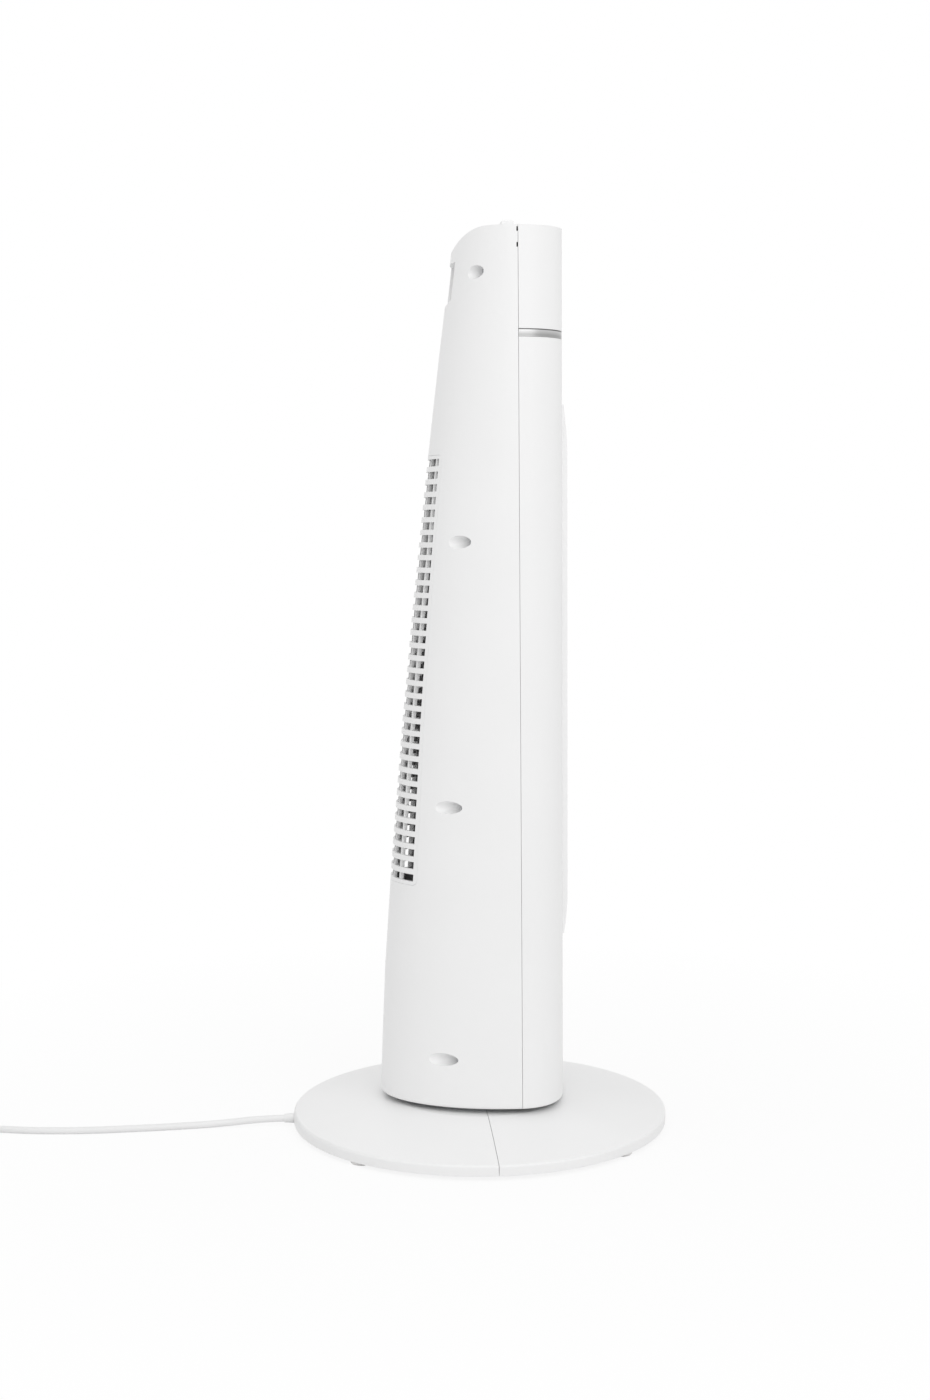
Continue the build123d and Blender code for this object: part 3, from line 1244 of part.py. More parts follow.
def plug_body():
    """A two-pin plug on the cord's end, as thick as lets it lie on the floor."""
    plane = plug_plane()
    thick = 2 * (plane.origin.Z - PLUG_LIFT)
    root = Pos(0, 0, PLUG_NECK)
    neck_end = root * RectangleRounded(PLUG_NECK_WIDTH, PLUG_NECK_THICKNESS, PLUG_ROUND)
    neck = loft([Circle(CORD_DIAMETER / 2 + PLUG_COLLAR), neck_end])
    shell = extrude(root * RectangleRounded(PLUG_WIDTH, thick, PLUG_ROUND), PLUG_LENGTH - PLUG_NECK)
    body = neck + shell
    for x in (-PIN_SPACING / 2, PIN_SPACING / 2):
        body -= Pos(x, 0, PLUG_LENGTH - PIN_ROOT / 2) * Cylinder(PIN_RADIUS, PIN_ROOT)
    return plane * body


def plug_pins():
    plane = plug_plane()
    low, high = PLUG_LENGTH - PIN_ROOT, PLUG_LENGTH + PIN_LENGTH
    pins = [rod_z(x, 0, low, high, PIN_RADIUS) for x in (-PIN_SPACING / 2, PIN_SPACING / 2)]
    pins = [fillet(pin.edges().group_by(Axis.Z)[-1], PIN_ROUND) for pin in pins]
    return solids_of([plane * pin for pin in pins])


# Every node of the fan, and the function that makes it
NODES = {
    "base_front_half": lambda: base_half(-1),
    "base_rear_half": lambda: base_half(1),
    "base_feet": base_feet,
    "base_screws": base_screws,
    "pivot_post": pivot_post,
    "glide_ring": glide_ring,
    "swing_gear": swing_gear,
    "post_cap": post_cap,
    "cap_screws": cap_screws,
    "strain_relief": strain_relief,
    "power_cord": power_cord,
    "cord_coil": cord_coil,
    "cord_tie": cord_tie,
    "plug_body": plug_body,
    "plug_pins": plug_pins,
    "swivel_plate": swivel_plate,
    "plate_screws": plate_screws,
    "swing_motor": swing_motor,
    "swing_motor_screws": swing_motor_screws,
    "swing_pinion": swing_pinion,
    "rear_cover": rear_cover,
    "intake_grille": intake_grille,
    "front_cover": front_cover,
    "front_grille": front_grille,
    "trim_band": trim_band,
    "control_fascia": control_fascia,
    "cover_screws": cover_screws,
    "motor_plate": motor_plate,
    "motor_upper_bell": motor_upper_bell,
    "motor_lower_bell": motor_lower_bell,
    "motor_stator": motor_stator,
    "motor_windings": motor_windings,
    "motor_rotor": motor_rotor,
    "motor_shaft": motor_shaft,
    "motor_grommets": motor_grommets,
    "motor_screws": motor_screws,
    "impeller": impeller,
    "volute_guide": volute_guide,
    "tongue_guide": tongue_guide,
    "upper_plate": upper_plate,
    "bearing_rubber": bearing_rubber,
    "bearing_bush": bearing_bush,
    "switch_block": switch_block,
    "switch_screws": switch_screws,
}
for name, x in zip(BUTTON_NAMES, button_places()):
    NODES[name] = lambda x=x: push_button(x)

os.makedirs("parts", exist_ok=True)
for name, make in NODES.items():
    shape = make()
    export_step(shape, f"parts/{name}.step")
    print(f"{name}: {len(shape.solids())} solids, {shape.volume:.0f} mm3")
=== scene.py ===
# %% [markdown]
# A white tower fan, seen from its side.
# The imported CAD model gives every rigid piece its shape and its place, in metres, with the floor at z = 0.
# This lesson adds what CAD leaves plain: the flexible cord, the screw heads, the printed button marks,
# the finishes and the studio.

# %% Load the fixed frame
import json
from math import cos, pi, radians, sin

import bmesh
import bpy
from mathutils import Matrix, Quaternion, Vector


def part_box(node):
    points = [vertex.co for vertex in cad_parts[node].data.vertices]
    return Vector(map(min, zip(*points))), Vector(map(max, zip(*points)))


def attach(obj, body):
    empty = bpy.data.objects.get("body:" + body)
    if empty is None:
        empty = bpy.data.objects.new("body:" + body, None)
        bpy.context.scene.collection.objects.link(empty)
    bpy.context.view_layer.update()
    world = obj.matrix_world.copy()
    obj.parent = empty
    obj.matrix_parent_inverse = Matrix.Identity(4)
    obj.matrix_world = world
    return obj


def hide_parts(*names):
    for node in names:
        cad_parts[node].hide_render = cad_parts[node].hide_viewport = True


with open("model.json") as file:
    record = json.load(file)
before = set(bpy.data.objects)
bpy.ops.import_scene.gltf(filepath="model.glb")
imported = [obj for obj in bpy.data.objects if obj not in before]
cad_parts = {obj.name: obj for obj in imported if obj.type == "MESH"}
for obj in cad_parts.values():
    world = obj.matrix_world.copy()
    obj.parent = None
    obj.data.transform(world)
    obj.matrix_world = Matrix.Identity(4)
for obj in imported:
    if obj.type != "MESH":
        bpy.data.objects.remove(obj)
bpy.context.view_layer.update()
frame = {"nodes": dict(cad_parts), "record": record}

MM = 0.001
nodes = frame["nodes"]

# %% [markdown]
# The camera comes first, because the cord has to leave the picture where the photograph shows it leaving.
# The lens and the place were worked out from the round base, whose outline is an ellipse of known size.
# In the photograph the tower is turned a little on its base, so the camera stands two degrees further
# round to the back than the base alone would put it.
# The picture is taller than it is wide, so the sensor's 36 mm run along its height.

# %% Camera
IMAGE_HEIGHT = 1400
FOCAL_PIXELS = 1892
SENSOR_MM = 36
VIEW_REACH = 100
CAMERA_PLACE = Vector((-1.52605, 0.1456, 0.479))
CAMERA_TURN = radians(5.066)
CAMERA_TILT = radians(4.88)
CAMERA_ROLL = radians(-0.3)


def new_object(name, data):
    """An object in the scene, at the origin."""
    item = bpy.data.objects.new(name, data)
    bpy.context.scene.collection.objects.link(item)
    return item


camera_data = bpy.data.cameras.new("camera")
camera_data.sensor_width = SENSOR_MM
camera_data.lens = FOCAL_PIXELS / IMAGE_HEIGHT * SENSOR_MM
camera_data.clip_end = VIEW_REACH
camera = new_object("camera", camera_data)
level_way = Vector((cos(CAMERA_TURN), -sin(CAMERA_TURN), 0))
view_way = level_way * cos(CAMERA_TILT) - Vector((0, 0, sin(CAMERA_TILT)))
upright = view_way.to_track_quat("-Z", "Y")
camera.location = CAMERA_PLACE
camera.rotation_euler = (upright @ Quaternion((0, 0, 1), CAMERA_ROLL)).to_euler()
bpy.context.scene.camera = camera
print(f"camera lens {camera_data.lens:.2f} mm")

# %% [markdown]
# A mains lead is one flexible tube. A bevelled curve keeps it a single smooth line: straight out of the
# strain relief, down to the floor, and out of the picture. The rest of its length is wound in a neat coil
# of two layers, spiralling in and out again, and ends in the plug.
# A NURBS line of order 3 rounds its corners by itself, so the route needs few points. The bevel is one metre
# and each point's radius scales it to the cord's own, so that the curve's box is as small as the cord.

# %% Power cord
CORD_DIAMETER = 5.6
CORD_SMOOTHNESS = 5
CORD_ROUTE = [
    (0, 161, 5.6), (0, 181, 5.6), (-1.5, 216, 2.9), (-6, 269, 2.9), (-8, 326, 2.9), (-2, 373, 2.9),
    (4.8, 406.4, 4.0), (4.1, 436.4, 4.0),
]
# The coil's sizes in millimetres.
COIL_CENTRE = (-40, 442)
COIL_INNER = 23.5
COIL_PITCH = 6.3
COIL_RISE = 6.3
COIL_LOW = 4.0
COIL_TAIL = 50
# The coil's stretches in turns: all of it, up to where it turns outwards again, and around that place.
COIL_TURNS = 6.25
COIL_REVERSAL = 3.25
COIL_BLEND = 0.25
COIL_CLIMB = 0.5
# How closely the coil is followed: by points, and by a small step in turns that gives its last direction.
POINTS_PER_TURN = 24
SMALL_STEP = 0.001


def coil_point(turns):
    """A point of the coil in millimetres, counted in turns from its outer end."""
    away = abs(turns - COIL_REVERSAL)
    if away < COIL_BLEND:
        away = (COIL_BLEND + away**2 / COIL_BLEND) / 2
    radius = COIL_INNER + COIL_PITCH * away
    climb = min(max((turns - COIL_REVERSAL) / COIL_CLIMB + 0.5, 0), 1)
    height = COIL_LOW + COIL_RISE * climb**2 * (3 - 2 * climb)
    angle = 2 * pi * turns
    return Vector((COIL_CENTRE[0] + radius * cos(angle), COIL_CENTRE[1] + radius * sin(angle), height))


cord_points = [Vector(p) for p in CORD_ROUTE]
steps = round(COIL_TURNS * POINTS_PER_TURN)
cord_points += [coil_point(i / POINTS_PER_TURN) for i in range(steps + 1)]
tail_way = (coil_point(COIL_TURNS) - coil_point(COIL_TURNS - SMALL_STEP)).normalized()
cord_points += [coil_point(COIL_TURNS) + tail_way * COIL_TAIL * share for share in (0.5, 1.0)]

cord_curve = bpy.data.curves.new("power_cord_line", "CURVE")
cord_curve.dimensions = "3D"
cord_curve.bevel_depth = 1.0
cord_curve.bevel_resolution = CORD_SMOOTHNESS
cord_curve.resolution_u = CORD_SMOOTHNESS
cord_curve.use_fill_caps = True
spline = cord_curve.splines.new("NURBS")
spline.points.add(len(cord_points) - 1)
for point, place in zip(spline.points, cord_points):
    point.co = (*(place * MM), 1)
    point.radius = CORD_DIAMETER / 2 * MM
spline.order_u = 3
spline.use_endpoint_u = True
power_cord = new_object("power_cord_line", cord_curve)
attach(power_cord, "base")
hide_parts("power_cord", "cord_coil")
print(f"cord of {len(cord_points)} points")

# %% [markdown]
# Every finish is a small node tree. One function adds a node, sets its values and links its inputs, so a
# material reads from top to bottom like a recipe. Colours are written as they look on a screen and turned
# into linear light by one other function.

# %% Node and colour helpers
# A Mix node has sockets for several kinds of data. These are the places of the ones for colours.
MIX_SHARE, MIX_FIRST, MIX_SECOND, MIX_RESULT = 0, 6, 7, 2


def add_node(tree, kind, inputs=None, **settings):
    """Adds a node. An input's value is a number, a colour or the output socket that it is linked to."""
    node = tree.nodes.new(kind)
    for name, value in settings.items():
        setattr(node, name, value)
    for socket, value in (inputs or {}).items():
        if isinstance(value, bpy.types.NodeSocket):
            tree.links.new(value, node.inputs[socket])
        else:
            node.inputs[socket].default_value = value
    return node


def linear(hex_colour):
    """An sRGB hex colour as linear red, green, blue and alpha."""
    parts = [int(hex_colour[i:i + 2], 16) / 255 for i in (1, 3, 5)]
    return [p / 12.92 if p <= 0.04045 else ((p + 0.055) / 1.055) ** 2.4 for p in parts] + [1.0]


def new_material(name):
    """An empty material and its node tree."""
    material = bpy.data.materials.new(name)
    material.use_nodes = True
    material.node_tree.nodes.clear()
    return material, material.node_tree


print("white ABS in linear light:", [round(c, 3) for c in linear("#f4f4f4")])

# %% [markdown]
# The covers are injection-moulded ABS, an opaque plastic with a satin skin. The mould's spark-eroded steel
# leaves a very fine grain that spreads highlights. The real grain of about 0.1 mm is too fine to show, so
# it is drawn at 0.7 mm. A second, slow pattern of a few centimetres keeps a wide white wall from looking
# printed.

# %% Moulded plastics
GLOSS_SPREAD = 0.08
GRAIN_STRENGTH = 0.3


def moulded_plastic(name, light, dark, roughness, grain_mm, drift_mm=60, ior=1.53, depth_mm=0.012):
    """A moulded plastic whose colour drifts between two close tones, with a fine mould grain."""
    material, tree = new_material(name)
    place = add_node(tree, "ShaderNodeTexCoord").outputs["Object"]
    drift = add_node(
        tree, "ShaderNodeTexNoise", {"Vector": place, "Scale": 1 / (drift_mm * MM), "Detail": 3.0}
    )
    tone = add_node(
        tree, "ShaderNodeMix",
        {MIX_SHARE: drift.outputs[0], MIX_FIRST: linear(light), MIX_SECOND: linear(dark)}, data_type="RGBA",
    )
    grain = add_node(
        tree, "ShaderNodeTexNoise", {"Vector": place, "Scale": 1 / (grain_mm * MM), "Detail": 2.0}
    )
    gloss = add_node(
        tree, "ShaderNodeMapRange",
        {"Value": grain.outputs[0],
         "To Min": roughness - GLOSS_SPREAD / 2, "To Max": roughness + GLOSS_SPREAD / 2},
    )
    bump = add_node(
        tree, "ShaderNodeBump",
        {"Height": grain.outputs[0], "Strength": GRAIN_STRENGTH, "Distance": depth_mm * MM},
    )
    skin = add_node(
        tree, "ShaderNodeBsdfPrincipled",
        {"Base Color": tone.outputs[MIX_RESULT], "Roughness": gloss.outputs[0], "Normal": bump.outputs[0],
         "IOR": ior},
    )
    add_node(tree, "ShaderNodeOutputMaterial", {"Surface": skin.outputs[0]})
    return material


# ABS in white: a clean tone with a wide, soft highlight. In grey it has a duller skin.
white_abs = moulded_plastic(
    "satin_moulded_white_abs", "#f4f4f4", "#f1f1f1", roughness=0.42, grain_mm=0.7
)
grey_abs = moulded_plastic("moulded_grey_abs", "#8d8f91", "#87898b", roughness=0.5, grain_mm=0.8)
# Polypropylene looks a little waxy, and in black it keeps a grey sheen.
black_polypropylene = moulded_plastic(
    "moulded_black_polypropylene", "#2b2c2d", "#242526", roughness=0.5, grain_mm=0.8, ior=1.49
)
# Acetal is creamy more than white, and smooth enough for a narrower highlight.
natural_acetal = moulded_plastic(
    "natural_acetal", "#eceadd", "#e6e3d4", roughness=0.36, grain_mm=0.9, ior=1.48
)
# A PVC sheath is pressed through a die, which leaves it smooth, with a soft sheen along the cord.
white_pvc = moulded_plastic(
    "smooth_white_pvc_sheath", "#f0f0f0", "#eaeaea", roughness=0.46, grain_mm=1.2, drift_mm=40, ior=1.52
)
# Rubber is dull and shows hardly any highlight. The feet are pale, as in the photograph.
grey_rubber = moulded_plastic(
    "moulded_grey_rubber", "#ecebea", "#e4e3e2", roughness=0.78, grain_mm=0.9, drift_mm=20, ior=1.5,
    depth_mm=0.03,
)
black_rubber = moulded_plastic(
    "moulded_black_rubber", "#262626", "#202020", roughness=0.8, grain_mm=0.9, drift_mm=20, ior=1.5,
    depth_mm=0.03,
)
# Printed ink is an even, dull grey.
grey_print = moulded_plastic(
    "pad_printed_grey_ink", "#8f9295", "#898c8f", roughness=0.55, grain_mm=0.5, drift_mm=10
)
print("plastics:", len(bpy.data.materials))

# %% [markdown]
# The metals are found in a few small places: the bright band under the controls, screws, the motor and
# the plug's pins. Plated and rolled steel show fine streaks, which are a noise pattern stretched along one
# direction. The band is plastic with a film of metal. In an all-white room a mirror would look like white
# paint, so a painted reflection goes into the band's colour: its tone runs from bright at the top to darker
# at the bottom, as if it had a darker room around it, with a painted shade line under its upper joint.

# %% Metals


def height_shade(tree, place, low, high, tones):
    """A tone for each height between two levels, from pairs of a share of the height and a colour."""
    height = add_node(tree, "ShaderNodeSeparateXYZ", {"Vector": place}).outputs["Z"]
    share = add_node(tree, "ShaderNodeMapRange", {"Value": height, "From Min": low, "From Max": high})
    ramp = add_node(tree, "ShaderNodeValToRGB", {"Fac": share.outputs[0]})
    stops = ramp.color_ramp.elements
    for position, colour in tones[1:-1]:
        stops.new(position).color = linear(colour)
    stops[0].color = linear(tones[0][1])
    stops[-1].color = linear(tones[-1][1])
    return ramp.outputs["Color"]


def streaked_metal(name, light, dark, roughness, streak_mm, stretch=(1, 1, 12), shade=None):
    """A metal with streaks that are stretched along the axes with the largest factors."""
    material, tree = new_material(name)
    place = add_node(tree, "ShaderNodeTexCoord").outputs["Object"]
    scale = [1 / (streak_mm * MM * factor) for factor in stretch]
    stretched = add_node(tree, "ShaderNodeMapping", {"Vector": place, "Scale": scale})
    streaks = add_node(
        tree, "ShaderNodeTexNoise", {"Vector": stretched.outputs[0], "Scale": 1.0, "Detail": 3.0}
    )
    tone = add_node(
        tree, "ShaderNodeMix",
        {MIX_SHARE: streaks.outputs[0], MIX_FIRST: linear(light), MIX_SECOND: linear(dark)}, data_type="RGBA",
    )
    colour = tone.outputs[MIX_RESULT]
    # A painted reflection and painted shade by height, multiplied into the streaked colour.
    if shade:
        painted_light = height_shade(tree, place, *shade)
        shaded = add_node(
            tree, "ShaderNodeMix", {MIX_SHARE: 1.0, MIX_FIRST: colour, MIX_SECOND: painted_light},
            data_type="RGBA", blend_type="MULTIPLY",
        )
        colour = shaded.outputs[MIX_RESULT]
    gloss = add_node(
        tree, "ShaderNodeMapRange",
        {"Value": streaks.outputs[0],
         "To Min": roughness - GLOSS_SPREAD / 2, "To Max": roughness + GLOSS_SPREAD / 2},
    )
    skin = add_node(
        tree, "ShaderNodeBsdfPrincipled",
        {"Base Color": colour, "Roughness": gloss.outputs[0], "Metallic": 1.0},
    )
    add_node(tree, "ShaderNodeOutputMaterial", {"Surface": skin.outputs[0]})
    return material


# A film of metal on smooth plastic. Its level lines of light and dark are a painted reflection, with a
# painted shade line under the upper joint.
BAND_PAINTED_REFLECTION = [
    (0.0, "#d3d3d3"), (0.25, "#c5c5c5"), (0.55, "#e1e1e1"),
    (0.86, "#f7f7f7"), (0.9, "#8d8d8d"), (1.0, "#878787"),
]
band_low, band_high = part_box("trim_band")
bright_trim = streaked_metal(
    "vacuum_metallised_bright_trim", "#d3d3d3", "#cccccc", roughness=0.3, streak_mm=0.4,
    stretch=(12, 12, 1), shade=(band_low[2], band_high[2], BAND_PAINTED_REFLECTION),
)
# Zinc plating is a cool, light grey with a broad shine.
zinc_steel = streaked_metal("zinc_plated_steel", "#c9cbce", "#b4b6ba", roughness=0.34, streak_mm=0.5)
# Nickel is warmer and shinier, with streaks along the pins.
nickel_brass = streaked_metal(
    "nickel_plated_brass", "#d6d2c6", "#c4bfb0", roughness=0.22, streak_mm=0.4, stretch=(12, 1, 1)
)
# Sintered bronze is full of pores, so its dull brown has spots and no streaks.
bronze = streaked_metal(
    "sintered_bronze", "#b58a4c", "#94703c", roughness=0.5, streak_mm=0.6, stretch=(1, 1, 1)
)
# Wound wire and stacked sheets both show as fine level lines, one orange and shiny, one grey and dull.
copper = streaked_metal(
    "enamelled_copper_wire", "#b4622f", "#93481f", roughness=0.35, streak_mm=0.5, stretch=(12, 12, 1)
)
laminations = streaked_metal(
    "stacked_steel_laminations", "#7d8084", "#5d6064", roughness=0.45, streak_mm=0.5, stretch=(16, 16, 1)
)
print("materials:", len(bpy.data.materials))

# %% [markdown]
# The CAD pieces keep their own shapes. Each takes the finish of its slot in the record, so a piece that
# is the same material everywhere is named only once here.

# %% Finishes on the CAD pieces
FINISHES = {
    "white_abs": white_abs, "chrome_trim": bright_trim, "rubber_feet": grey_rubber, "white_pvc": white_pvc,
    "plated_steel": zinc_steel, "plated_brass": nickel_brass, "bronze": bronze, "copper_wire": copper,
    "lamination": laminations, "black_plastic": black_polypropylene, "grey_plastic": grey_abs,
    "natural_pom": natural_acetal, "black_rubber": black_rubber,
}
for part in frame["record"]["subparts"]:
    piece = nodes[part["node"]]
    piece.data.materials.clear()
    piece.data.materials.append(FINISHES[part["material_slot"]])
power_cord.data.materials.append(white_pvc)

# %% [markdown]
# Eight screws hold the covers together, with their heads at the bottom of the scoops. CAD keeps a screw as
# a plain head on a plain shank, so here it gets its cross recess. A screw could be copied by hand, but a
# Geometry Nodes tree is shorter: it shapes one screw from a few sizes, cuts the recess with a boolean and
# sets a copy on every point it is given. Each copy is turned by its own amount, as a tightened screw is.

# %% Screw tree
HEAD_HEIGHT = 2.2
SCREW_SIZES = {
    "Head Radius": 3.4, "Head Height": HEAD_HEIGHT, "Shank Radius": 1.5, "Shank Length": 16.0,
    "Recess Width": 1.1, "Recess Depth": 1.5,
}
# The radius of the head's top and the length of the cross, as shares of the head's radius.
HEAD_TAPER = 0.78
CROSS_SPAN = 1.25
HEAD_SIDES = 32
SHANK_SIDES = 16
TWIST_SEED = 4
# A Random Value node has sockets for several kinds of data. These are the places of the ones for numbers.
RANDOM_LOW, RANDOM_HIGH, RANDOM_RESULT = 2, 3, 1


def screw_tree(material):
    """Sets a cross-recess screw on every point, with its head along the point's facing attribute."""
    tree = bpy.data.node_groups.new("cross_recess_screws", "GeometryNodeTree")
    tree.interface.new_socket("Points", in_out="INPUT", socket_type="NodeSocketGeometry")
    for name in SCREW_SIZES:
        tree.interface.new_socket(name, in_out="INPUT", socket_type="NodeSocketFloat")
    tree.interface.new_socket("Screws", in_out="OUTPUT", socket_type="NodeSocketGeometry")
    given = add_node(tree, "NodeGroupInput").outputs

    rim = add_node(tree, "ShaderNodeMath", {0: given["Head Radius"], 1: HEAD_TAPER}, operation="MULTIPLY")
    head = add_node(
        tree, "GeometryNodeMeshCone",
        {"Vertices": HEAD_SIDES, "Radius Bottom": given["Head Radius"], "Radius Top": rim.outputs[0],
         "Depth": given["Head Height"]},
    )
    # Two bars cut the cross. They are centred on the head's top, so they are twice as deep as the recess.
    arm = add_node(tree, "ShaderNodeMath", {0: given["Head Radius"], 1: CROSS_SPAN}, operation="MULTIPLY")
    deep = add_node(tree, "ShaderNodeMath", {0: given["Recess Depth"], 1: 2.0}, operation="MULTIPLY")
    size = add_node(
        tree, "ShaderNodeCombineXYZ",
        {"X": arm.outputs[0], "Y": given["Recess Width"], "Z": deep.outputs[0]},
    )
    crown = add_node(tree, "ShaderNodeCombineXYZ", {"Z": given["Head Height"]})
    cutter = add_node(tree, "GeometryNodeMeshCube", {"Size": size.outputs[0]}).outputs["Mesh"]
    along = add_node(
        tree, "GeometryNodeTransform", {"Geometry": cutter, "Translation": crown.outputs[0]}
    )
    across = add_node(
        tree, "GeometryNodeTransform",
        {"Geometry": cutter, "Translation": crown.outputs[0], "Rotation": (0, 0, pi / 2)},
    )
    cut = add_node(
        tree, "GeometryNodeMeshBoolean",
        {"Mesh 1": head.outputs["Mesh"], "Mesh 2": along.outputs[0]}, operation="DIFFERENCE",
    )
    tree.links.new(across.outputs[0], cut.inputs["Mesh 2"])

    # A cylinder is made around its own middle, so the shank is lowered by half its length.
    middle = add_node(tree, "ShaderNodeMath", {0: given["Shank Length"], 1: -0.5}, operation="MULTIPLY")
    below = add_node(tree, "ShaderNodeCombineXYZ", {"Z": middle.outputs[0]})
    rod = add_node(
        tree, "GeometryNodeMeshCylinder",
        {"Vertices": SHANK_SIDES, "Radius": given["Shank Radius"], "Depth": given["Shank Length"]},
    )
    shank = add_node(
        tree, "GeometryNodeTransform", {"Geometry": rod.outputs["Mesh"], "Translation": below.outputs[0]}
    )
    screw = add_node(tree, "GeometryNodeJoinGeometry", {"Geometry": cut.outputs["Mesh"]})
    tree.links.new(shank.outputs[0], screw.inputs["Geometry"])

    facing = add_node(tree, "GeometryNodeInputNamedAttribute", {"Name": "facing"}, data_type="FLOAT_VECTOR")
    aim = add_node(tree, "FunctionNodeAlignRotationToVector", {"Vector": facing.outputs[0]}, axis="Z")
    turn = add_node(
        tree, "FunctionNodeRandomValue",
        {RANDOM_LOW: 0.0, RANDOM_HIGH: pi / 2, "Seed": TWIST_SEED}, data_type="FLOAT",
    )
    twist = add_node(
        tree, "FunctionNodeAxisAngleToRotation", {"Axis": (0, 0, 1), "Angle": turn.outputs[RANDOM_RESULT]}
    )
    seated = add_node(
        tree, "FunctionNodeRotateRotation",
        {"Rotation": aim.outputs[0], "Rotate By": twist.outputs[0]}, rotation_space="LOCAL",
    )
    copies = add_node(
        tree, "GeometryNodeInstanceOnPoints",
        {"Points": given["Points"], "Instance": screw.outputs[0], "Rotation": seated.outputs[0]},
    )
    real = add_node(tree, "GeometryNodeRealizeInstances", {"Geometry": copies.outputs[0]})
    plated = add_node(tree, "GeometryNodeSetMaterial", {"Geometry": real.outputs[0], "Material": material})
    add_node(tree, "NodeGroupOutput", {"Screws": plated.outputs[0]})
    return tree


screws_tree = screw_tree(zinc_steel)
print("screw tree nodes:", len(screws_tree.nodes))

# %% [markdown]
# The places come from the CAD node itself, so the new screws can't drift away from their holes. Its loose
# triangles are merged, split into connected islands, and each island gives one seat under its head.

# %% Cover screws
MERGE_DISTANCE = 0.001
BACKWARDS = (0, 1, 0)


def islands(piece):
    """The points of each separate solid in a piece, lowest solid first."""
    mesh = bmesh.new()
    mesh.from_mesh(piece.data)
    bmesh.ops.remove_doubles(mesh, verts=mesh.verts, dist=MERGE_DISTANCE * MM)
    left = set(mesh.verts)
    groups = []
    for first in mesh.verts:
        if first not in left:
            continue
        left.remove(first)
        group = [first]
        for vert in group:
            near = {edge.other_vert(vert) for edge in vert.link_edges} & left
            left -= near
            group += near
        groups.append([vert.co.copy() for vert in group])
    mesh.free()
    return sorted(groups, key=lambda group: (round(group[0].z, 3), group[0].x))


def evaluated_mesh(holder):
    """The plain mesh that an object's curve, text or modifiers make."""
    bpy.context.view_layer.update()
    graph = bpy.context.evaluated_depsgraph_get()
    return bpy.data.meshes.new_from_object(holder.evaluated_get(graph))


def add_piece(name, mesh, body):
    """A mesh as a piece of the fan, on one of its bodies."""
    piece = new_object(name, mesh)
    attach(piece, body)
    return piece


seats = []
for group in islands(nodes["cover_screws"]):
    xs, ys, zs = zip(*group)
    seats.append(((min(xs) + max(xs)) / 2, max(ys) - HEAD_HEIGHT * MM, (min(zs) + max(zs)) / 2))
points = bpy.data.meshes.new("cover_screw_seats")
points.from_pydata(seats, [], [])
facing = points.attributes.new("facing", "FLOAT_VECTOR", "POINT")
for item in facing.data:
    item.vector = BACKWARDS
holder = new_object("cover_screw_seats", points)
modifier = holder.modifiers.new("screws", "NODES")
modifier.node_group = screws_tree
for item in screws_tree.interface.items_tree:
    if item.name in SCREW_SIZES:
        modifier[item.identifier] = SCREW_SIZES[item.name] * MM
screw_mesh = evaluated_mesh(holder)
holder.modifiers.remove(modifier)
bpy.data.objects.remove(holder)
cover_screws = add_piece("cross_recess_cover_screws", screw_mesh, "tower")
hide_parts("cover_screws")
print("cover screws:", len(seats), "faces:", len(screw_mesh.polygons))

# %% [markdown]
# The five push buttons are marked with the plain signs of their kind: 0 to 3 for the speeds and a double
# arrow for the swing. On the real thing they are pad printed, a film of ink far thinner than a hair.
# Text objects give the numerals, and each becomes a mesh on its button.

# %% Button numerals
INK = 0.06
MARK_SIZE = 6.0
NUMERALS = {"button_off": "0", "button_low": "1", "button_medium": "2", "button_high": "3"}


def button_top(node):
    """The middle of a button's top."""
    low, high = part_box(node)
    return Vector(((low[0] + high[0]) / 2, (low[1] + high[1]) / 2, high[2]))


def print_mark(button, mesh):
    """Lays a mark on its button, in ink."""
    mesh.transform(Matrix.Translation(button_top(button)))
    add_piece(button + "_mark", mesh, button)
    mesh.materials.clear()
    mesh.materials.append(grey_print)


for button, numeral in NUMERALS.items():
    text = bpy.data.curves.new(button + "_text", "FONT")
    text.body = numeral
    text.size = MARK_SIZE * MM
    text.align_x = "CENTER"
    text.align_y = "CENTER"
    text.extrude = INK * MM
    holder = new_object(button + "_text", text)
    print_mark(button, evaluated_mesh(holder))
    bpy.data.objects.remove(holder)
print("numerals:", len(NUMERALS))

# %% [markdown]
# The double arrow is a bent line with a head at each end. A font may not have one, so its outline is walked
# once round: along the outer side, around one head, back along the inner side and around the other head.
# The outline makes one face, which is lifted into a thin slab.

# %% Swing arrow
ARC_RADIUS = 3.6
ARC_HALF = radians(42)
ARC_LINE = 0.35
ARC_TOP = 1
ARC_STEPS = 12
ARROW_HALF = 1.0
ARROW_TURN = radians(26)


def arc_place(angle, radius):
    """A point at an angle from the arc's middle, with the arc's top a little above the mark's centre."""
    return (radius * sin(angle) * MM, (radius * cos(angle) - ARC_RADIUS + ARC_TOP) * MM)


sweep = [ARC_HALF * (2 * i / ARC_STEPS - 1) for i in range(ARC_STEPS + 1)]
outline = [arc_place(angle, ARC_RADIUS + ARC_LINE) for angle in sweep]
outline += [
    arc_place(ARC_HALF, ARC_RADIUS + ARROW_HALF), arc_place(ARC_HALF + ARROW_TURN, ARC_RADIUS),
    arc_place(ARC_HALF, ARC_RADIUS - ARROW_HALF),
]
outline += [arc_place(angle, ARC_RADIUS - ARC_LINE) for angle in reversed(sweep)]
outline += [
    arc_place(-ARC_HALF, ARC_RADIUS - ARROW_HALF), arc_place(-ARC_HALF - ARROW_TURN, ARC_RADIUS),
    arc_place(-ARC_HALF, ARC_RADIUS + ARROW_HALF),
]
arrow = bmesh.new()
face = arrow.faces.new([arrow.verts.new((x, y, -INK * MM)) for x, y in outline])
raised = bmesh.ops.extrude_face_region(arrow, geom=[face])["geom"]
lifted = [item for item in raised if isinstance(item, bmesh.types.BMVert)]
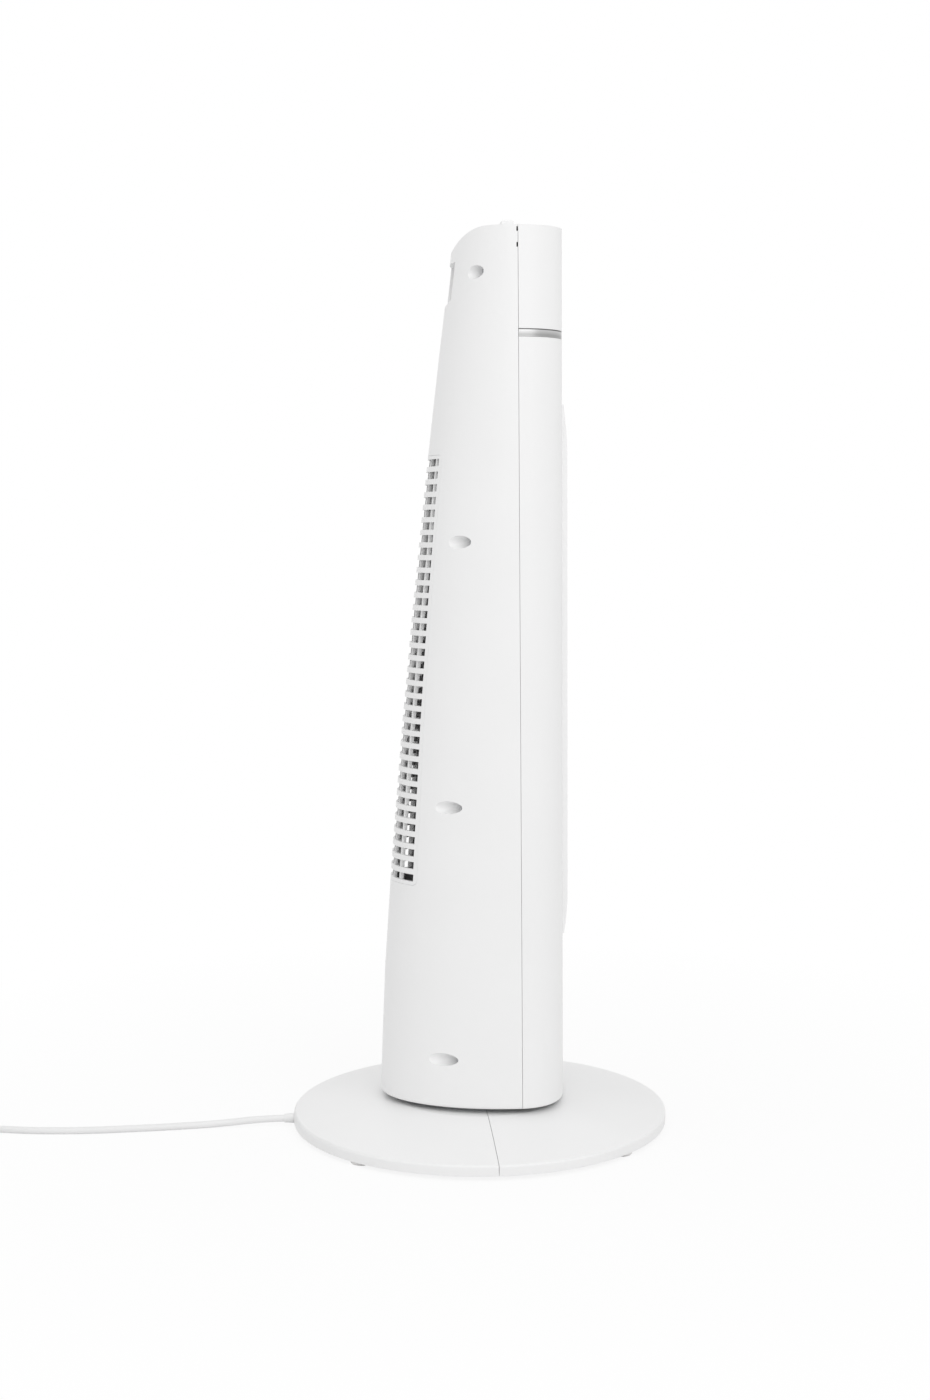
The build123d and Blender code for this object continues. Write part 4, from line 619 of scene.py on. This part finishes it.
bmesh.ops.translate(arrow, verts=lifted, vec=(0, 0, 2 * INK * MM))
bmesh.ops.triangulate(arrow, faces=arrow.faces)
bmesh.ops.recalc_face_normals(arrow, faces=arrow.faces)
arrow_mesh = bpy.data.meshes.new("swing_arrow")
arrow.to_mesh(arrow_mesh)
arrow.free()
print_mark("button_swing", arrow_mesh)
print("swing arrow of", len(outline), "corners")

# %% [markdown]
# The studio is a white paper floor in a white room, under soft light from all around. Rays that come from
# the camera, a mirror or a clear body see plain white. Scattered light sees a dimmer world and the real
# paper, so the white room adds no light to the fan. Near the fan the paper still shows a faint shadow.

# %% World and floor
AMBIENT = 0.70
PAPER_COLOUR = "#f4f4f4"
# How much of the real paper shows under the fan, and how far out it has faded to plain white, in metres.
SHADOW_NEAR = 0.16
SHADOW_REACH = 0.7
FLOOR_HALF = 20.0
scene = bpy.context.scene
scene.view_settings.view_transform = "Standard"


def seen_directly(tree):
    """1 for a ray from the camera, a mirror or a clear body, and 0 for a ray of scattered light."""
    rays = add_node(tree, "ShaderNodeLightPath").outputs
    glossy, clear = rays["Is Glossy Ray"], rays["Is Transmission Ray"]
    shiny = add_node(tree, "ShaderNodeMath", {0: glossy, 1: clear}, operation="MAXIMUM")
    seen = add_node(
        tree, "ShaderNodeMath", {0: rays["Is Camera Ray"], 1: shiny.outputs[0]}, operation="MAXIMUM"
    )
    return seen.outputs[0]


world = bpy.data.worlds.new("studio")
scene.world = world
world.use_nodes = True
tree = world.node_tree
tree.nodes.clear()
level = add_node(tree, "ShaderNodeMapRange", {"Value": seen_directly(tree), "To Min": AMBIENT, "To Max": 1.0})
room = add_node(tree, "ShaderNodeBackground", {"Color": (1, 1, 1, 1), "Strength": level.outputs[0]})
add_node(tree, "ShaderNodeOutputWorld", {"Surface": room.outputs[0]})

floor_material, tree = new_material("white_paper_floor")
place = add_node(tree, "ShaderNodeTexCoord").outputs["Object"]
away = add_node(tree, "ShaderNodeVectorMath", {0: place}, operation="LENGTH")
share = add_node(
    tree, "ShaderNodeMapRange",
    {"Value": away.outputs["Value"], "From Min": 0.0, "From Max": SHADOW_REACH,
     "To Min": 1 - SHADOW_NEAR, "To Max": 1.0},
)
white_share = add_node(
    tree, "ShaderNodeMath", {0: seen_directly(tree), 1: share.outputs[0]}, operation="MULTIPLY"
)
paper = add_node(tree, "ShaderNodeBsdfDiffuse", {"Color": linear(PAPER_COLOUR)})
white = add_node(tree, "ShaderNodeEmission", {"Color": (1, 1, 1, 1), "Strength": 1.0})
sheet = add_node(
    tree, "ShaderNodeMixShader", {0: white_share.outputs[0], 1: paper.outputs[0], 2: white.outputs[0]}
)
add_node(tree, "ShaderNodeOutputMaterial", {"Surface": sheet.outputs[0]})
signs = ((-1, -1), (1, -1), (1, 1), (-1, 1))
corners = [(x * FLOOR_HALF, y * FLOOR_HALF, 0) for x, y in signs]
floor_mesh = bpy.data.meshes.new("floor")
floor_mesh.from_pydata(corners, [], [(0, 1, 2, 3)])
floor_mesh.materials.append(floor_material)
floor = new_object("floor", floor_mesh)
print("floor of", 2 * FLOOR_HALF, "metres")

# %% [markdown]
# The world's light is even and would leave a white body flat. Two wide lamps, one towards the front of the
# near side and one above, add the slow falloff that makes a round white wall look round.

# %% Lamps
LAMPS = {
    "key": {"place": (-2.2, -0.6, 1.9), "target": (0, 0, 0.6), "size": 2.4, "power": 21},
    "top": {"place": (-0.3, 0.6, 2.4), "target": (0, 0, 0.4), "size": 2.0, "power": 7},
}


def soft_lamp(name, place, target, size, power):
    """A square lamp that faces a target. Its size is in metres and its power in watts."""
    lamp = bpy.data.lights.new(name, "AREA")
    lamp.size = size
    lamp.energy = power
    lamp_object = new_object(name, lamp)
    lamp_object.location = place
    aim = Vector(target) - Vector(place)
    lamp_object.rotation_euler = aim.to_track_quat("-Z", "Y").to_euler()


for name, settings in LAMPS.items():
    soft_lamp(name, **settings)
print("lamps:", len(bpy.data.lights))

# %% [markdown]
# Last, the scene's view layer is brought up to date.

# %% Last update
bpy.context.view_layer.update()
